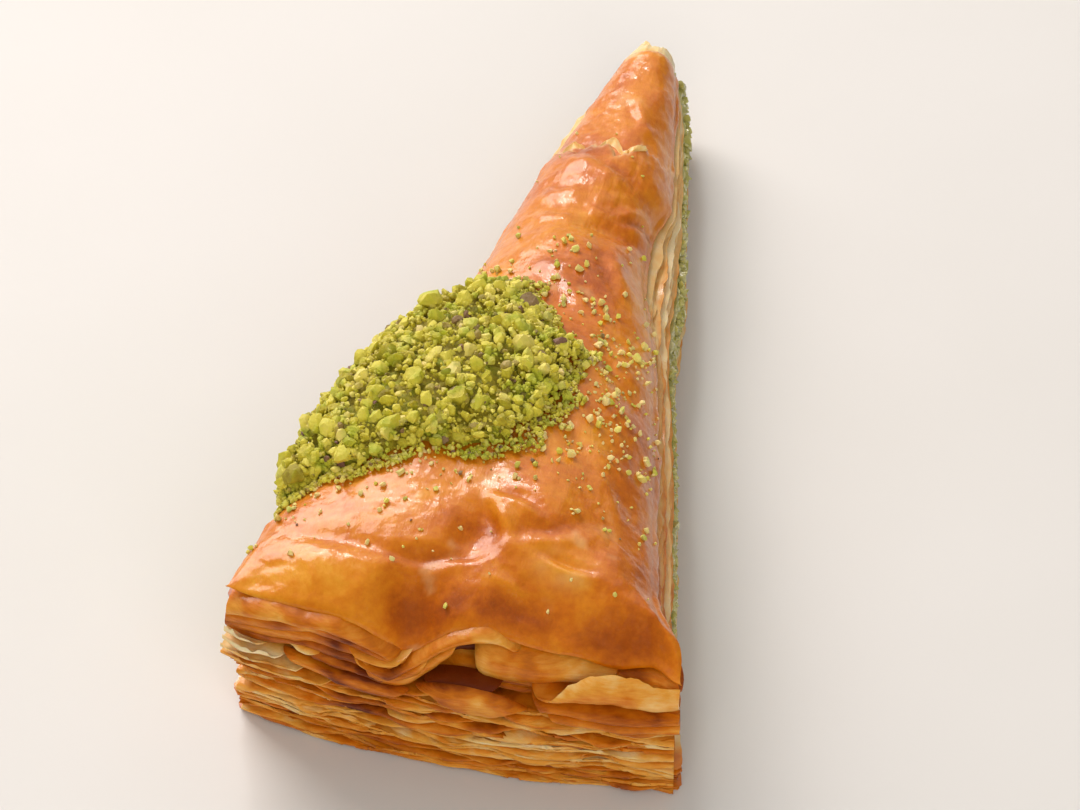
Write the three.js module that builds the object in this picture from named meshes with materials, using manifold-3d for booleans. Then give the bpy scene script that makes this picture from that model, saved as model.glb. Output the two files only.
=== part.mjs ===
// A carrot-slice baklava piece: one long wedge cut from a round tray, with its narrow tip at +Y and its
// broad outer end, which was baked against the tray's curved wall, at -Y. It stands on its flat base at z = 0.
// Units are millimetres. +Z is up. The origin is the middle of the base.
//
// pastry    the baked sheets: low base sheets, a puffed top crust and the folded sheet ends at the outer end
// filling   the pale green pistachio band that runs through the piece and shows at both cut sides
// pistachio the heap of ground pistachio that lies over the waist and down the left flank

import * as THREE from "three";
import { mergeVertices } from "three/addons/utils/BufferGeometryUtils.js";
import Module from "manifold-3d";

const wasm = await Module();
wasm.setup();

// ---- driving dimensions ----
const LENGTH = 152; // tip to outer end, along Y
const TIP_RADIUS = 20; // distance of the tip from the tray's centre
const OFF_AXIS = 7; // how far the tray's centre lies to the right of the piece's own axis
const TIP_HALF_WIDTH = 4.4;
const OUTER_HALF_WIDTH = 33.8;
const WAIST_AT = 0.5; // share of the length where the crust has shrunk back most from the left cut
const WAIST_LEFT = 1.2; // how far it has shrunk back there
const DRAWN_RIGHT = 3; // how far it has shrunk back from the right cut, where paler sheets show under it
const WAIST_RIGHT_AT = 0.39; // share of the length where it has shrunk back most on the right
const WAIST_RIGHT = 1.3; // how much further it has shrunk back there
const CORNER_FLARE = 0.7; // how far the right corner stands out
const FOOT_RIGHT = 2.1; // how far the lower sheets stand out on the right near the tip
const LEDGE = 4; // how abruptly the wall turns in to the shrunk crust's edge, as a power
const TIP_HEIGHT = 18; // top of the crust at the tip
const CREST_HEIGHT = 36; // top of the crust on the puffed dome
const TIP_LIP = 13; // height of the crust's cut edge at the tip
const WAIST_LIP = 21.5; // and at the waist
const OUTER_LIP = 30; // and at the outer end
const SHOULDER_AT = 0.8; // share of the length where the dome starts to roll over the outer end
const END_TAPER = 5; // how far the outer end leans in at the base, as the tray's wall does
const BAND_END = 0.93; // share of the length where the outer sheets close round the filling
const GAP = 0.3; // clearance between touching pieces
const OVERSHOOT = 6; // how far a cutting tool reaches past what it cuts

// ---- mesh density ----
const TOP_STEPS = 18; // across the crust
const BODY_STATIONS = 22; // along the piece, before the shoulder
const SHOULDER_STATIONS = 11; // over the shoulder, closer and closer to the end

// ---- small tools ----
const TAU = 2 * Math.PI;
const clamp01 = (x) => Math.min(1, Math.max(0, x));
const smooth = (x) => clamp01(x) ** 2 * (3 - 2 * clamp01(x));
const mix = (a, b, k) => a + (b - a) * k;
const bell = (x) => Math.exp(-x * x);
const steps = (n, at) => Array.from({ length: n + 1 }, (_, i) => at(i));

// A seeded random number generator (mulberry32), so every build is the same.
function seeded(seed) {
  let state = seed >>> 0;
  return () => {
    state = (state + 0x6d2b79f5) >>> 0;
    let t = Math.imul(state ^ (state >>> 15), state | 1);
    t ^= t + Math.imul(t ^ (t >>> 7), t | 61);
    return ((t ^ (t >>> 14)) >>> 0) / 4294967296;
  };
}

// ---- the wedge's form: s runs 0 to 1 from tip to outer end, t runs -1 to 1 from left to right ----
const TRAY_CENTRE_Y = LENGTH / 2 + TIP_RADIUS;

// How far the crust's edge has shrunk back from the cut: a little at the waist on the left, and evenly on the
// right from the narrow part to the shoulder.
function drawnIn(s, side) {
  if (side < 0) return WAIST_LEFT * bell((s - WAIST_AT) / 0.14);
  const even = DRAWN_RIGHT * smooth((s - 0.23) / 0.06) * (1 - smooth((s - 0.9) / 0.08));
  return even + WAIST_RIGHT * bell((s - WAIST_RIGHT_AT) / 0.06) - CORNER_FLARE * smooth((s - 0.93) / 0.05);
}

// Half the width, with a blunt tip and wandering cuts. A sheet has its own share of what the crust has
// shrunk back.
function halfWidth(s, side, shrunk = 1) {
  const straight = mix(TIP_HALF_WIDTH, OUTER_HALF_WIDTH, s ** 1.06) - 0.6 * side * (1 - s);
  const foot = side < 0 ? 0 : FOOT_RIGHT * smooth(s / 0.06) * (1 - smooth((s - 0.3) / 0.16)) * (1 - shrunk);
  const wander = side < 0 ? 0.4 * Math.sin(7 * s + 1) : 0.3 * Math.sin(9 * s + 2.2);
  const blunt = mix(0.62, 1, Math.sqrt(1 - (1 - clamp01(s / 0.03)) ** 2));
  return (straight + foot - drawnIn(s, side) * shrunk + wander * smooth(s / 0.2)) * blunt;
}

// Height of the crust's cut edge above the base.
function lipHeight(s, side) {
  const narrow = mix(TIP_LIP, WAIST_LIP, smooth(s / 0.65));
  const broad = (OUTER_LIP - WAIST_LIP) * smooth((s - 0.6) / 0.4);
  return narrow + broad + 0.6 * Math.sin(12 * s + side) * smooth(s / 0.3);
}

// Low swellings and hollows of the baked crust: place (s, t), spread (ds, dt) and height.
const SWELLINGS = [
  { s: 0.83, t: 0.36, ds: 0.06, dt: 0.28, height: 1.5 }, // right half of the dome
  { s: 0.79, t: -0.45, ds: 0.08, dt: 0.28, height: 1 }, // left half of the dome
  { s: 0.89, t: 0, ds: 0.035, dt: 0.11, height: -2.2 }, // hollow above the end fold
  { s: 0.955, t: -0.6, ds: 0.028, dt: 0.3, height: 1.5 }, // left corner's lobe
  { s: 0.92, t: 0.74, ds: 0.06, dt: 0.2, height: 1 }, // right corner's shoulder
  { s: 0.965, t: 0.32, ds: 0.025, dt: 0.14, height: -1 },
  { s: 0.5, t: 0.1, ds: 0.05, dt: 0.8, height: -1.2 }, // waist
  { s: 0.325, t: 0.45, ds: 0.03, dt: 0.45, height: -1 },
  { s: 0.37, t: -0.3, ds: 0.05, dt: 0.4, height: 0.8 },
  { s: 0.26, t: -0.2, ds: 0.04, dt: 0.5, height: 0.8 },
  { s: 0.14, t: 0.25, ds: 0.05, dt: 0.4, height: 0.5 },
];

// The torn edge of the topmost sheet, which steps up across the narrow part and fades towards the waist.
const TEAR_AT = 0.192;
const TEAR_STEP = 0.8;
const TEAR_RUN = 0.04;
function tearStep(s, t) {
  const line = TEAR_AT - 0.014 * t + 0.014 * bell((t - 0.12) / 0.13);
  return TEAR_STEP * smooth((s - line) / TEAR_RUN) * (1 - smooth((s - line) / 0.16));
}

// How the crust's edge dips and lifts across the outer end.
function endWave(t) {
  return -1.3 * bell((t + 0.92) / 0.16) - 5.2 * bell((t + 0.19) / 0.15) - 3.2 * bell((t - 0.52) / 0.27);
}

// How far the crust's edge is drawn back from the tray's wall across the outer end.
function endPull(t) {
  return 1.2 + 3 * smooth((t + 0.4) / 0.5) - 3.6 * smooth((t - 0.84) / 0.16);
}

// Height of the crust: an arch between the two cut edges that rolls over at the outer end.
function crustHeight(s, t) {
  const lip = mix(lipHeight(s, -1), lipHeight(s, 1), (t + 1) / 2);
  const ridge = mix(TIP_HEIGHT, CREST_HEIGHT, smooth(s / 0.8));
  const arch = (1 - Math.min(1, Math.abs(t)) ** 2.3) ** 0.55;
  const over = Math.sqrt(Math.max(0, 1 - clamp01((s - SHOULDER_AT) / (1 - SHOULDER_AT)) ** 2.6));
  let z = lip + (ridge - lip) * arch * over;
  for (const b of SWELLINGS) {
    z += b.height * bell((s - b.s) / b.ds) * bell((t - b.t) / b.dt) * Math.sqrt(arch * over);
  }
  z += tearStep(s, t) * arch;
  z += endWave(t) * smooth((s - 0.9) / 0.1) * Math.sqrt(Math.max(0, 1 - t * t));
  return z;
}

// The place of a point from its share of the length, its x and its height. Stations are arcs about the
// tray's centre; out moves a point away from that centre.
function place(s, x, z, out) {
  const r = TIP_RADIUS + s * LENGTH + out;
  const off = x - OFF_AXIS * s;
  return new THREE.Vector3(x, TRAY_CENTRE_Y - Math.sqrt(Math.max(1, r * r - off * off)), z);
}

// How far the whole of the piece near the outer end is moved in for its crust's pulled edge and its taper.
function endOut(s, t, rise, pullShare) {
  const pulled = endPull(t) * pullShare * smooth((s - 0.8) / 0.2);
  return -pulled - END_TAPER * smooth((s - 0.86) / 0.14) * (1 - rise);
}

// The smooth skin of the piece: p runs -1 to 1 from the left base edge, over the crust, to the right one.
const LIP_P = 0.6; // |p| of the crust's cut edge
function skin(s, p) {
  const side = p < 0 ? -1 : 1;
  if (Math.abs(p) <= LIP_P) {
    const t = Math.sin(((p / LIP_P) * Math.PI) / 2);
    return place(s, halfWidth(s, side) * t, crustHeight(s, t), endOut(s, t, 1, 1));
  }
  const rise = (1 - Math.abs(p)) / (1 - LIP_P);
  const x = side * halfWidth(s, side, rise ** LEDGE);
  return place(s, x, lipHeight(s, side) * rise, endOut(s, side, rise, rise ** 2));
}

// The skin's outward direction, from its slopes along s and p.
function skinNormal(s, p) {
  const d = 0.004;
  const along = skin(Math.min(s + d, 1), p).sub(skin(Math.max(s - d, 0), p));
  const across = skin(s, Math.min(p + d, 1)).sub(skin(s, Math.max(p - d, -1)));
  return across.cross(along).negate().normalize();
}

function onSkin(s, p, lift) {
  return skin(s, p).addScaledVector(skinNormal(s, p), lift);
}

// ---- the sheets' edges, at the cut sides and the outer end, from the crust down to the base ----
// zone is 2 between the crust's edge and the filling, 1 beside the filling and 0 under it. thick is a sheet's
// share of its zone, which changes across the outer end. side and end are how far it stands out of the cut
// side and of the outer end. pull is its share of the crust's draw back.
const SHEETS = [
  { zone: 2, thick: () => 0.06, side: 0, end: 0, pull: 1 },
  { zone: 2, thick: (t) => mix(0.08, 0.42, smooth((0.05 - t) / 0.5)), side: -0.5, end: 0.9, pull: 0.8 },
  { zone: 2, thick: (t) => 0.12 + 0.4 * bell((t - 0.3) / 0.42), side: -0.7, end: 0.7, pull: 0.85 },
  { zone: 2, thick: (t) => mix(0.14, 0.3, smooth((t - 0.2) / 0.4)), side: -0.3, end: 1.1, pull: 0.15 },
  { zone: 2, thick: (t) => 0.24 + 0.05 * Math.sin(6 * t), side: -0.5, end: 0.6, pull: 0.05 },
  { zone: 1, thick: () => 1, side: -0.3, end: 0.2, pull: 0 },
  { zone: 0, thick: (t) => 0.5 + 0.12 * Math.sin(4 * t + 2), side: 0.1, end: 0.5, pull: 0 },
  { zone: 0, thick: () => 0.5, side: 0.7, end: 0.3, pull: 0 },
];
const GROOVE = 0.16; // share of a sheet's thickness taken by the gap under it
const GROOVE_DEPTH = 1.1;

const bandBottom = (s) => mix(5, 6.2, s) + 0.35 * Math.sin(11 * s);
const bandTop = (s) => mix(9.6, 14, smooth(s)) + 0.4 * Math.sin(14 * s + 1);

// The rows of the wall under the crust's edge at (s, t): each sheet's upper edge, lower edge and the gap
// under it.
function wallRows(s, t) {
  const side = t < 0 ? -1 : 1;
  const top = Math.abs(t) === 1 ? lipHeight(s, side) : crustHeight(s, t);
  const floors = [0, bandBottom(s), bandTop(s), top];
  const fade = smooth((s - 0.95) / 0.05);
  const rows = [];
  for (const zone of [2, 1, 0]) {
    const sheets = SHEETS.filter((sheet) => sheet.zone === zone);
    const total = sheets.reduce((sum, sheet) => sum + sheet.thick(t), 0);
    let level = 1;
    for (const sheet of sheets) {
      const share = sheet.thick(t) / total;
      const levels = [level, level - share * (1 - GROOVE), level - share * (1 - GROOVE / 2)];
      level -= share;
      levels.forEach((at, i) => {
        const z = mix(floors[zone], floors[zone + 1], at);
        const deep = i === 2 ? GROOVE_DEPTH : 0;
        const wave = rows.length > 0 ? 0.25 * Math.sin(33 * s + 2.7 * rows.length) : 0;
        const ripple = wave * smooth(s / 0.1);
        const out = (sheet.end - deep) * fade + endOut(s, t, clamp01(z / top), sheet.pull);
        rows.push({ z, x: t * (halfWidth(s, side, sheet.pull) + sheet.side - deep + ripple), out });
      });
    }
  }
  rows[rows.length - 1].z = 0; // the last gap closes as the base edge
  return rows.map(({ z, x, out }) => place(s, x, z, out));
}

// ---- meshes ----
// Collects triangles as corner points and makes them one merged geometry.
class Soup {
  constructor() {
    this.corners = [];
  }
  tri(a, b, c) {
    this.corners.push(a, b, c);
  }
  // A grid of points, as rows, in triangles.
  grid(rows) {
    for (let i = 0; i + 1 < rows.length; i++)
      for (let j = 0; j + 1 < rows[i].length; j++) {
        this.tri(rows[i][j], rows[i + 1][j], rows[i + 1][j + 1]);
        this.tri(rows[i][j], rows[i + 1][j + 1], rows[i][j + 1]);
      }
  }
  solid() {
    return solidOf(new THREE.BufferGeometry().setFromPoints(this.corners));
  }
}

// A closed geometry as a manifold-3d solid.
function solidOf(geometry) {
  const bare = new THREE.BufferGeometry().setAttribute("position", geometry.getAttribute("position"));
  if (geometry.index) bare.setIndex(geometry.index);
  const merged = mergeVertices(bare, 1e-4);
  const index = merged.index.array;
  const triVerts = [];
  for (let i = 0; i < index.length; i += 3) {
    const [a, b, c] = [index[i], index[i + 1], index[i + 2]];
    if (a !== b && b !== c && c !== a) triVerts.push(a, b, c);
  }
  const vertProperties = merged.attributes.position.array;
  const mesh = new wasm.Mesh({ numProp: 3, vertProperties, triVerts: new Uint32Array(triVerts) });
  return new wasm.Manifold(mesh);
}

// A manifold-3d solid as a geometry for a mesh.
function geometryOf(solid) {
  const mesh = solid.getMesh();
  const g = new THREE.BufferGeometry();
  g.setAttribute("position", new THREE.BufferAttribute(new Float32Array(mesh.vertProperties), 3));
  g.setIndex(new THREE.BufferAttribute(new Uint32Array(mesh.triVerts), 1));
  return g;
}

// The stations along the piece: closer round the tip, even along the body, closing up over the shoulder.
function stations() {
  const tip = [0, 0.006, 0.016];
  const body = steps(BODY_STATIONS, (i) => mix(0.016, SHOULDER_AT, i / BODY_STATIONS)).slice(1);
  const quarter = (i) => Math.sin(((i / SHOULDER_STATIONS) * Math.PI) / 2);
  const shoulder = steps(SHOULDER_STATIONS, (i) => mix(SHOULDER_AT, 1, quarter(i))).slice(1);
  return [...tip, ...body, ...shoulder];
}

// The body of the pastry: crust and walls lofted along the stations, closed by the outer end, the tip and
// the base.
function pastryBody() {
  const soup = new Soup();
  const ts = steps(TOP_STEPS, (i) => Math.sin(mix(-1, 1, i / TOP_STEPS) * (Math.PI / 2)));
  const crust = (s, t) => place(s, halfWidth(s, t < 0 ? -1 : 1) * t, crustHeight(s, t), endOut(s, t, 1, 1));
  const rings = stations().map((s) => {
    const left = wallRows(s, -1);
    const right = wallRows(s, 1);
    return [...left.reverse(), ...ts.slice(1, -1).map((t) => crust(s, t)), ...right];
  });
  soup.grid(rings);

  // The outer end, as columns from the base up to the crust's edge.
  const last = rings[rings.length - 1];
  const rowCount = SHEETS.length * 3;
  const columns = ts.map((t, i) => {
    if (i === 0) return last.slice(0, rowCount);
    if (i === TOP_STEPS) return last.slice(-rowCount).reverse();
    return [...wallRows(1, t).slice(1).reverse(), last[rowCount - 1 + i]];
  });
  soup.grid(columns);

  // The tip, as a fan about its middle.
  const first = rings[0];
  const middle = first[rowCount >> 1].clone().lerp(first[first.length - 1 - (rowCount >> 1)], 0.5);
  first.forEach((corner, j) => soup.tri(middle, corner, first[(j + 1) % first.length]));

  // The base, as one flat polygon.
  const rim = [
    ...rings.map((ring) => ring[0]),
    ...columns.slice(1, -1).map((column) => column[0]),
    ...rings.map((ring) => ring[ring.length - 1]).reverse(),
  ];
  const flat = rim.map((v) => new THREE.Vector2(v.x, v.y));
  for (const [a, b, c] of THREE.ShapeUtils.triangulateShape(flat, [])) soup.tri(rim[a], rim[c], rim[b]);
  return soup.solid();
}

// ---- the filling band and its slot ----
// A band across the piece between two shares of its length. It reaches past the cut sides by a given amount,
// and is thicker than the filling by the gap above and below.
const BAND_ACROSS = 6;
function band({ startS, endS, reach, gap, upSteps, alongSteps }) {
  const point = (i, j, k) => {
    const [s, share, up] = [mix(startS, endS, i / alongSteps), mix(-1, 1, j / BAND_ACROSS), k / upSteps];
    const at = clamp01(s);
    const x = share * (halfWidth(Math.max(at, 0.03), share < 0 ? -1 : 1, 0) + reach(at, up, share));
    return place(s, x, mix(bandBottom(at) - gap, bandTop(at) + gap, up), 0);
  };
  const rows = (n, m, at) => steps(n, (a) => steps(m, (b) => at(a, b)));
  const soup = new Soup();
  soup.grid(rows(alongSteps, BAND_ACROSS, (i, j) => point(i, j, upSteps)));
  soup.grid(rows(BAND_ACROSS, alongSteps, (j, i) => point(i, j, 0)));
  soup.grid(rows(alongSteps, upSteps, (i, k) => point(i, 0, k)));
  soup.grid(rows(upSteps, alongSteps, (k, i) => point(i, BAND_ACROSS, k)));
  soup.grid(rows(upSteps, BAND_ACROSS, (k, j) => point(0, j, k)));
  soup.grid(rows(BAND_ACROSS, upSteps, (j, k) => point(alongSteps, j, k)));
  return soup.solid();
}

function slot() {
  const reach = () => OVERSHOOT;
  return band({ startS: -0.06, endS: BAND_END, reach, gap: GAP, upSteps: 1, alongSteps: 20 });
}

// The filling's cut sides are lumpy with chopped nut.
function filling() {
  const reach = (s, up, share) =>
    -0.5 + 0.45 * Math.sin(52 * s + 3 * up + share) * Math.sin(31 * s - 5 * up) * Math.sin(Math.PI * up);
  return band({ startS: 0.004, endS: BAND_END - GAP / LENGTH, reach, gap: 0, upSteps: 3, alongSteps: 28 });
}

// ---- ground pistachio ----
const HEAP_S = 0.685; // middle of the heap
const HEAP_P = -0.42;
const HEAP_TURN = THREE.MathUtils.degToRad(139); // its long axis runs down over the left flank
const HEAP_LONG = 31; // half length and half width along the skin
const HEAP_SHORT = 20;
const HEAP_LOWEST_P = -0.84; // how far down the flank it reaches
const HEAP_THICKNESS = 7;
const SKIN_PER_P = 50; // millimetres of skin for each unit of p, near the heap

// A place in the heap's outline as s and p: share runs 0 to 1 from its middle to its rim, at an angle.
function heapPlan(share, angle) {
  const broad = 0.07 * Math.sin(3 * angle + 0.8) + 0.05 * Math.sin(7 * angle + 2);
  const rim = 1 + broad + 0.03 * Math.sin(13 * angle);
  const squarish = (Math.abs(Math.cos(angle)) ** 2.5 + Math.abs(Math.sin(angle)) ** 2.5) ** (-1 / 2.5);
  const u = share * rim * squarish * HEAP_LONG * Math.cos(angle);
  const v = share * rim * squarish * HEAP_SHORT * Math.sin(angle);
  const across = u * Math.cos(HEAP_TURN) - v * Math.sin(HEAP_TURN);
  const along = u * Math.sin(HEAP_TURN) + v * Math.cos(HEAP_TURN);
  const p = HEAP_P + across / SKIN_PER_P;
  return [HEAP_S + along / LENGTH, Math.max(HEAP_LOWEST_P + (p - HEAP_LOWEST_P) * 0.1, p)];
}

// Thickness of the heap over the skin: a mound that is thinner down the flank.
function heapThickness(share, angle) {
  const [, p] = heapPlan(share, angle);
  return HEAP_THICKNESS * Math.sqrt(Math.max(0, 1 - share ** 2.6)) * mix(0.5, 1, smooth((p + 0.9) / 0.6));
}

// The heap's core: a crumbly top whose corners are thrown up and down and aside, and a plain underside.
const HEAP_SECTORS = 38;
const HEAP_RINGS = 9;
const HEAP_ROUGHNESS = 0.8;
function heapCore() {
  const soup = new Soup();
  const random = seeded(3);
  const row = (ring, rings, lift) => {
    const corners = steps(HEAP_SECTORS - 1, (j) => {
      const loose = ring < rings ? 0.4 : 0;
      const angle = (-TAU * (j + loose * (random() - 0.5) * 2)) / HEAP_SECTORS;
      const share = (ring + loose * (random() - 0.5)) / rings;
      const [s, p] = heapPlan(share, angle);
      return onSkin(s, p, ring === rings ? -1 : lift(share, angle));
    });
    return [...corners, corners[0]];
  };
  const rough = (share, angle) => heapThickness(share, angle) + HEAP_ROUGHNESS * (2 * random() - 1);
  const top = steps(HEAP_RINGS - 1, (i) => row(i + 1, HEAP_RINGS, rough));
  const peak = onSkin(HEAP_S, HEAP_P, HEAP_THICKNESS);
  const under = onSkin(HEAP_S, HEAP_P, -3);
  const rim = top[top.length - 1];
  soup.grid(top);
  for (let j = 0; j < HEAP_SECTORS; j++) {
    soup.tri(peak, top[0][j], top[0][j + 1]);
    soup.tri(under, rim[j + 1], rim[j]);
  }
  return soup.solid();
}

// One crumb: a squashed, turned icosahedron.
function crumb(centre, radius, random) {
  const g = new THREE.IcosahedronGeometry(radius, 0);
  g.scale(mix(0.8, 1.25, random()), mix(0.75, 1.1, random()), mix(0.7, 0.95, random()));
  const turn = new THREE.Euler(TAU * random(), TAU * random(), TAU * random());
  g.applyMatrix4(new THREE.Matrix4().makeRotationFromEuler(turn));
  g.translate(centre.x, centre.y, centre.z);
  return solidOf(g);
}

// Crumbs that stand out of the heap, spread evenly by the golden angle.
const HEAP_CRUMBS = 76;
const GOLDEN_ANGLE = Math.PI * (3 - Math.sqrt(5));
function heapCrumbs() {
  const random = seeded(11);
  return steps(HEAP_CRUMBS - 1, (i) => {
    const share = 0.97 * Math.sqrt((i + 0.5) / HEAP_CRUMBS);
    const angle = i * GOLDEN_ANGLE;
    const [s, p] = heapPlan(share, angle);
    const radius = mix(1.1, 1.9, random() ** 1.6);
    return crumb(onSkin(s, p, heapThickness(share, angle) + radius * 0.15), radius, random);
  });
}

// Crumbs scattered on the bare crust round the heap, fused to it.
const LOOSE_CRUMBS = 26;
function looseCrumbs() {
  const random = seeded(5);
  const list = [];
  while (list.length < LOOSE_CRUMBS) {
    const angle = TAU * random();
    const share = mix(1.2, 1.6, random() ** 1.5);
    const [s, p] = heapPlan(share, angle);
    const radius = mix(0.7, 1.15, random());
    const onTop = s > 0.3 && s < 0.95 && p > -0.5 && p < 0.5;
    if (onTop) list.push(crumb(onSkin(s, p, radius * 0.3), radius, random));
  }
  return list;
}

// ---- assembly ----
const fused = (solids) => wasm.Manifold.union(solids);

const pastry = fused([pastryBody().subtract(slot()), ...looseCrumbs()]);

// The heap keeps the gap to what lies under it and beside it.
const under = fused([pastry, filling()]);
const kept = fused([under, under.translate([0, 0, GAP]), under.translate([-GAP, 0, 0])]);
const heapPieces = fused([heapCore(), ...heapCrumbs()]).subtract(kept).decompose();
const heap = heapPieces.sort((a, b) => b.volume() - a.volume())[0]; // loose scraps are dropped

function named(name, solid, color, roughness) {
  const material = new THREE.MeshStandardMaterial({ color, roughness, metalness: 0 });
  const mesh = new THREE.Mesh(geometryOf(solid), material);
  mesh.name = name;
  return mesh;
}

const group = new THREE.Group();
group.name = "baklava_piece";
group.add(named("pastry", pastry, 0xd98a3c, 0.35));
group.add(named("filling", filling(), 0xb9b465, 0.5));
group.add(named("pistachio", heap, 0x9aa833, 0.85));

export default group;
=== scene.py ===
"""Looks for a carrot-slice baklava piece: a long wedge of filo pastry with a puffed, syrup-glazed crust,
ruffled sheet ends at its broad end, a pale green filling and a heap of ground pistachio.

Shapes are worked out in millimetres on arrays and written to meshes in metres. s runs 0 to 1 from the
narrow tip (+Y) to the broad outer end (-Y), and t runs -1 to 1 from the left cut to the right cut.
"""

import math

import bmesh
import bpy
import numpy as np
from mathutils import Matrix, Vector


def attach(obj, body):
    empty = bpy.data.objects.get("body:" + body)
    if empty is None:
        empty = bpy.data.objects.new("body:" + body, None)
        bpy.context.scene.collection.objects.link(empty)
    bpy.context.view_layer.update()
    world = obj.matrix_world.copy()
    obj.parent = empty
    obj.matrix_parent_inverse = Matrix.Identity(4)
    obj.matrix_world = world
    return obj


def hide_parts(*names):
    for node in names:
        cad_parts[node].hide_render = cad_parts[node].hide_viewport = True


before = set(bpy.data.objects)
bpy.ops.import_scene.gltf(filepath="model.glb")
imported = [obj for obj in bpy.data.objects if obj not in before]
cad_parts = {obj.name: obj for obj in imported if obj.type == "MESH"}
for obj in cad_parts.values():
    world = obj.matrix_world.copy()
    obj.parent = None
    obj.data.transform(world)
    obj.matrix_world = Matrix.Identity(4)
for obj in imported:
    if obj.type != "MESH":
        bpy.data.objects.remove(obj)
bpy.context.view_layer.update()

# ---- the wedge's sizes, in millimetres, as in the solids; places along it are shares of its length ----
LENGTH = 152.0
TIP_RADIUS = 20.0  # from the tray's centre to the tip: both ends are arcs about that centre
OFF_AXIS = 7.0  # how far the arcs' middle moves to the right on the way to the outer end
TIP_HALF_WIDTH, OUTER_HALF_WIDTH = 4.4, 33.8
WAIST_AT, WAIST_LEFT = 0.5, 1.2  # where the crust has shrunk back on the left, and how far
DRAWN_RIGHT, WAIST_RIGHT_AT, WAIST_RIGHT, CORNER_FLARE = 3.0, 0.39, 1.3, 0.7  # the same on the right
FOOT_RIGHT = 2.1  # how far the lowest sheets stand out on the right near the tip
LEDGE = 4  # the power of its height by which a sheet shrinks back with the crust
TIP_HEIGHT, CREST_HEIGHT = 18.0, 36.0
TIP_LIP, WAIST_LIP, OUTER_LIP = 13.0, 21.5, 30.0  # heights of the crust's cut edge
SHOULDER_AT = 0.8  # where the crust starts to roll over to the outer end
END_TAPER = 5.0  # how far the outer end slopes in at its base, as the tray's wall does
BAND_END = 0.93  # where the filling ends
TRAY_CENTRE_Y = LENGTH / 2 + TIP_RADIUS
TEAR_AT, TEAR_STEP, TEAR_RUN = 0.192, 0.9, 0.008  # the topmost sheet's torn step: place, height and run
CRUST_THICK = 1.0
CRUST_ROWS_POWER = 1.3  # how much the crust's rows crowd towards the outer end

# low swellings and hollows of the crust: place (s, t), spread (ds, dt) and height in mm
SWELLINGS = [
    (0.83, 0.36, 0.06, 0.28, 1.5),
    (0.79, -0.45, 0.08, 0.28, 1.0),
    (0.89, 0.00, 0.035, 0.11, -2.2),
    (0.955, -0.60, 0.028, 0.30, 1.5),
    (0.92, 0.74, 0.06, 0.20, 1.0),
    (0.965, 0.32, 0.025, 0.14, -1.0),
    (0.50, 0.10, 0.05, 0.80, -1.2),
    (0.325, 0.45, 0.03, 0.45, -1.0),
    (0.37, -0.30, 0.05, 0.40, 0.8),
    (0.26, -0.20, 0.04, 0.50, 0.8),
    (0.14, 0.25, 0.05, 0.40, 0.5),
]

# folds and creases of the crust: place (s, t), turn of the crease's run from across the piece in degrees,
# half its length and half its width in mm, height in mm, and how one-sided it is (0 a ridge, 1 a step)
CREASES = [
    (0.920, -0.50, 4, 11.0, 2.2, -0.7, 0.3),
    (0.928, -0.16, -4, 7.0, 1.8, 0.5, 1.0),
    (0.865, 0.10, 70, 5.0, 1.8, -0.8, 1.0),
    (0.838, 0.22, 25, 4.0, 1.6, 0.6, 1.0),
    (0.875, 0.42, -30, 6.0, 2.2, 0.5, 1.0),
    (0.918, 0.52, 20, 4.0, 1.3, 0.6, 1.0),
    (0.955, 0.24, 24, 3.6, 1.2, 0.6, 0.0),
    (0.960, -0.21, 78, 5.0, 2.8, -0.9, 0.0),
    (0.985, 0.62, 6, 7.0, 1.8, -0.6, 0.0),
    (0.330, 0.35, -14, 6.0, 2.2, -0.6, 1.0),
    (0.300, 0.75, -30, 4.0, 1.3, -0.5, 1.0),
    (0.245, 0.10, 30, 4.0, 1.8, 0.3, 1.0),
    (0.232, -0.35, -12, 4.0, 1.8, 0.4, 0.0),
    (0.222, 0.35, 18, 3.0, 1.4, 0.3, 0.0),
    (0.290, -0.45, -18, 5.0, 2.2, 0.3, 1.0),
    (0.410, 0.55, 80, 6.0, 1.8, -0.4, 1.0),
    (0.470, 0.20, 60, 5.0, 1.8, 0.3, 1.0),
    (0.120, 0.10, 75, 4.0, 1.3, -0.3, 1.0),
    (0.600, 0.62, 72, 8.0, 2.2, 0.4, 1.0),
    (0.720, 0.55, 60, 8.0, 2.2, -0.4, 1.0),
    (0.780, 0.75, 76, 7.0, 2.0, 0.35, 1.0),
]

# the heap of pistachio: its middle on the skin, its turn, half its length and width, the lowest place on the
# left flank that it may reach, its thickness, and the waves on its rim: height as a share, count and start
HEAP_S, HEAP_P = 0.685, -0.42
HEAP_TURN = math.radians(139)
HEAP_LONG, HEAP_SHORT = 31.0, 20.0
HEAP_LOWEST_P = -0.84
HEAP_THICKNESS = 7.0
HEAP_WAVES = [(0.07, 3, 0.8), (0.05, 7, 2.0), (0.04, 13, 0.0), (0.02, 29, 0.0)]

# the skin: millimetres for each unit of p, and the p at which the crust's edge lies
SKIN_PER_P = 50.0
LIP_P = 0.6


# ---- small tools ----
# the primes that number the corners of a random field's lattice, and how many random numbers they pick from
CLOUD_PRIMES = (73856093, 19349663, 83492791)
CLOUD_NUMBERS = 8192


def smooth(x):
    """Smoothed step: 0 below 0, 1 above 1, and 3x^2 - 2x^3 between."""
    x = np.clip(x, 0, 1)
    return x * x * (3 - 2 * x)


def bell(x):
    """Bell curve exp(-x^2)."""
    return np.exp(-np.square(x))


def mix(a, b, k):
    """Straight blend from a to b by k."""
    return a + (b - a) * k


def rounded(x):
    """Quarter round: a quarter circle that rises from 0 at 0 to 1 at 1, and stays there."""
    return np.sqrt(1 - (1 - np.clip(x, 0, 1)) ** 2)


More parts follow.
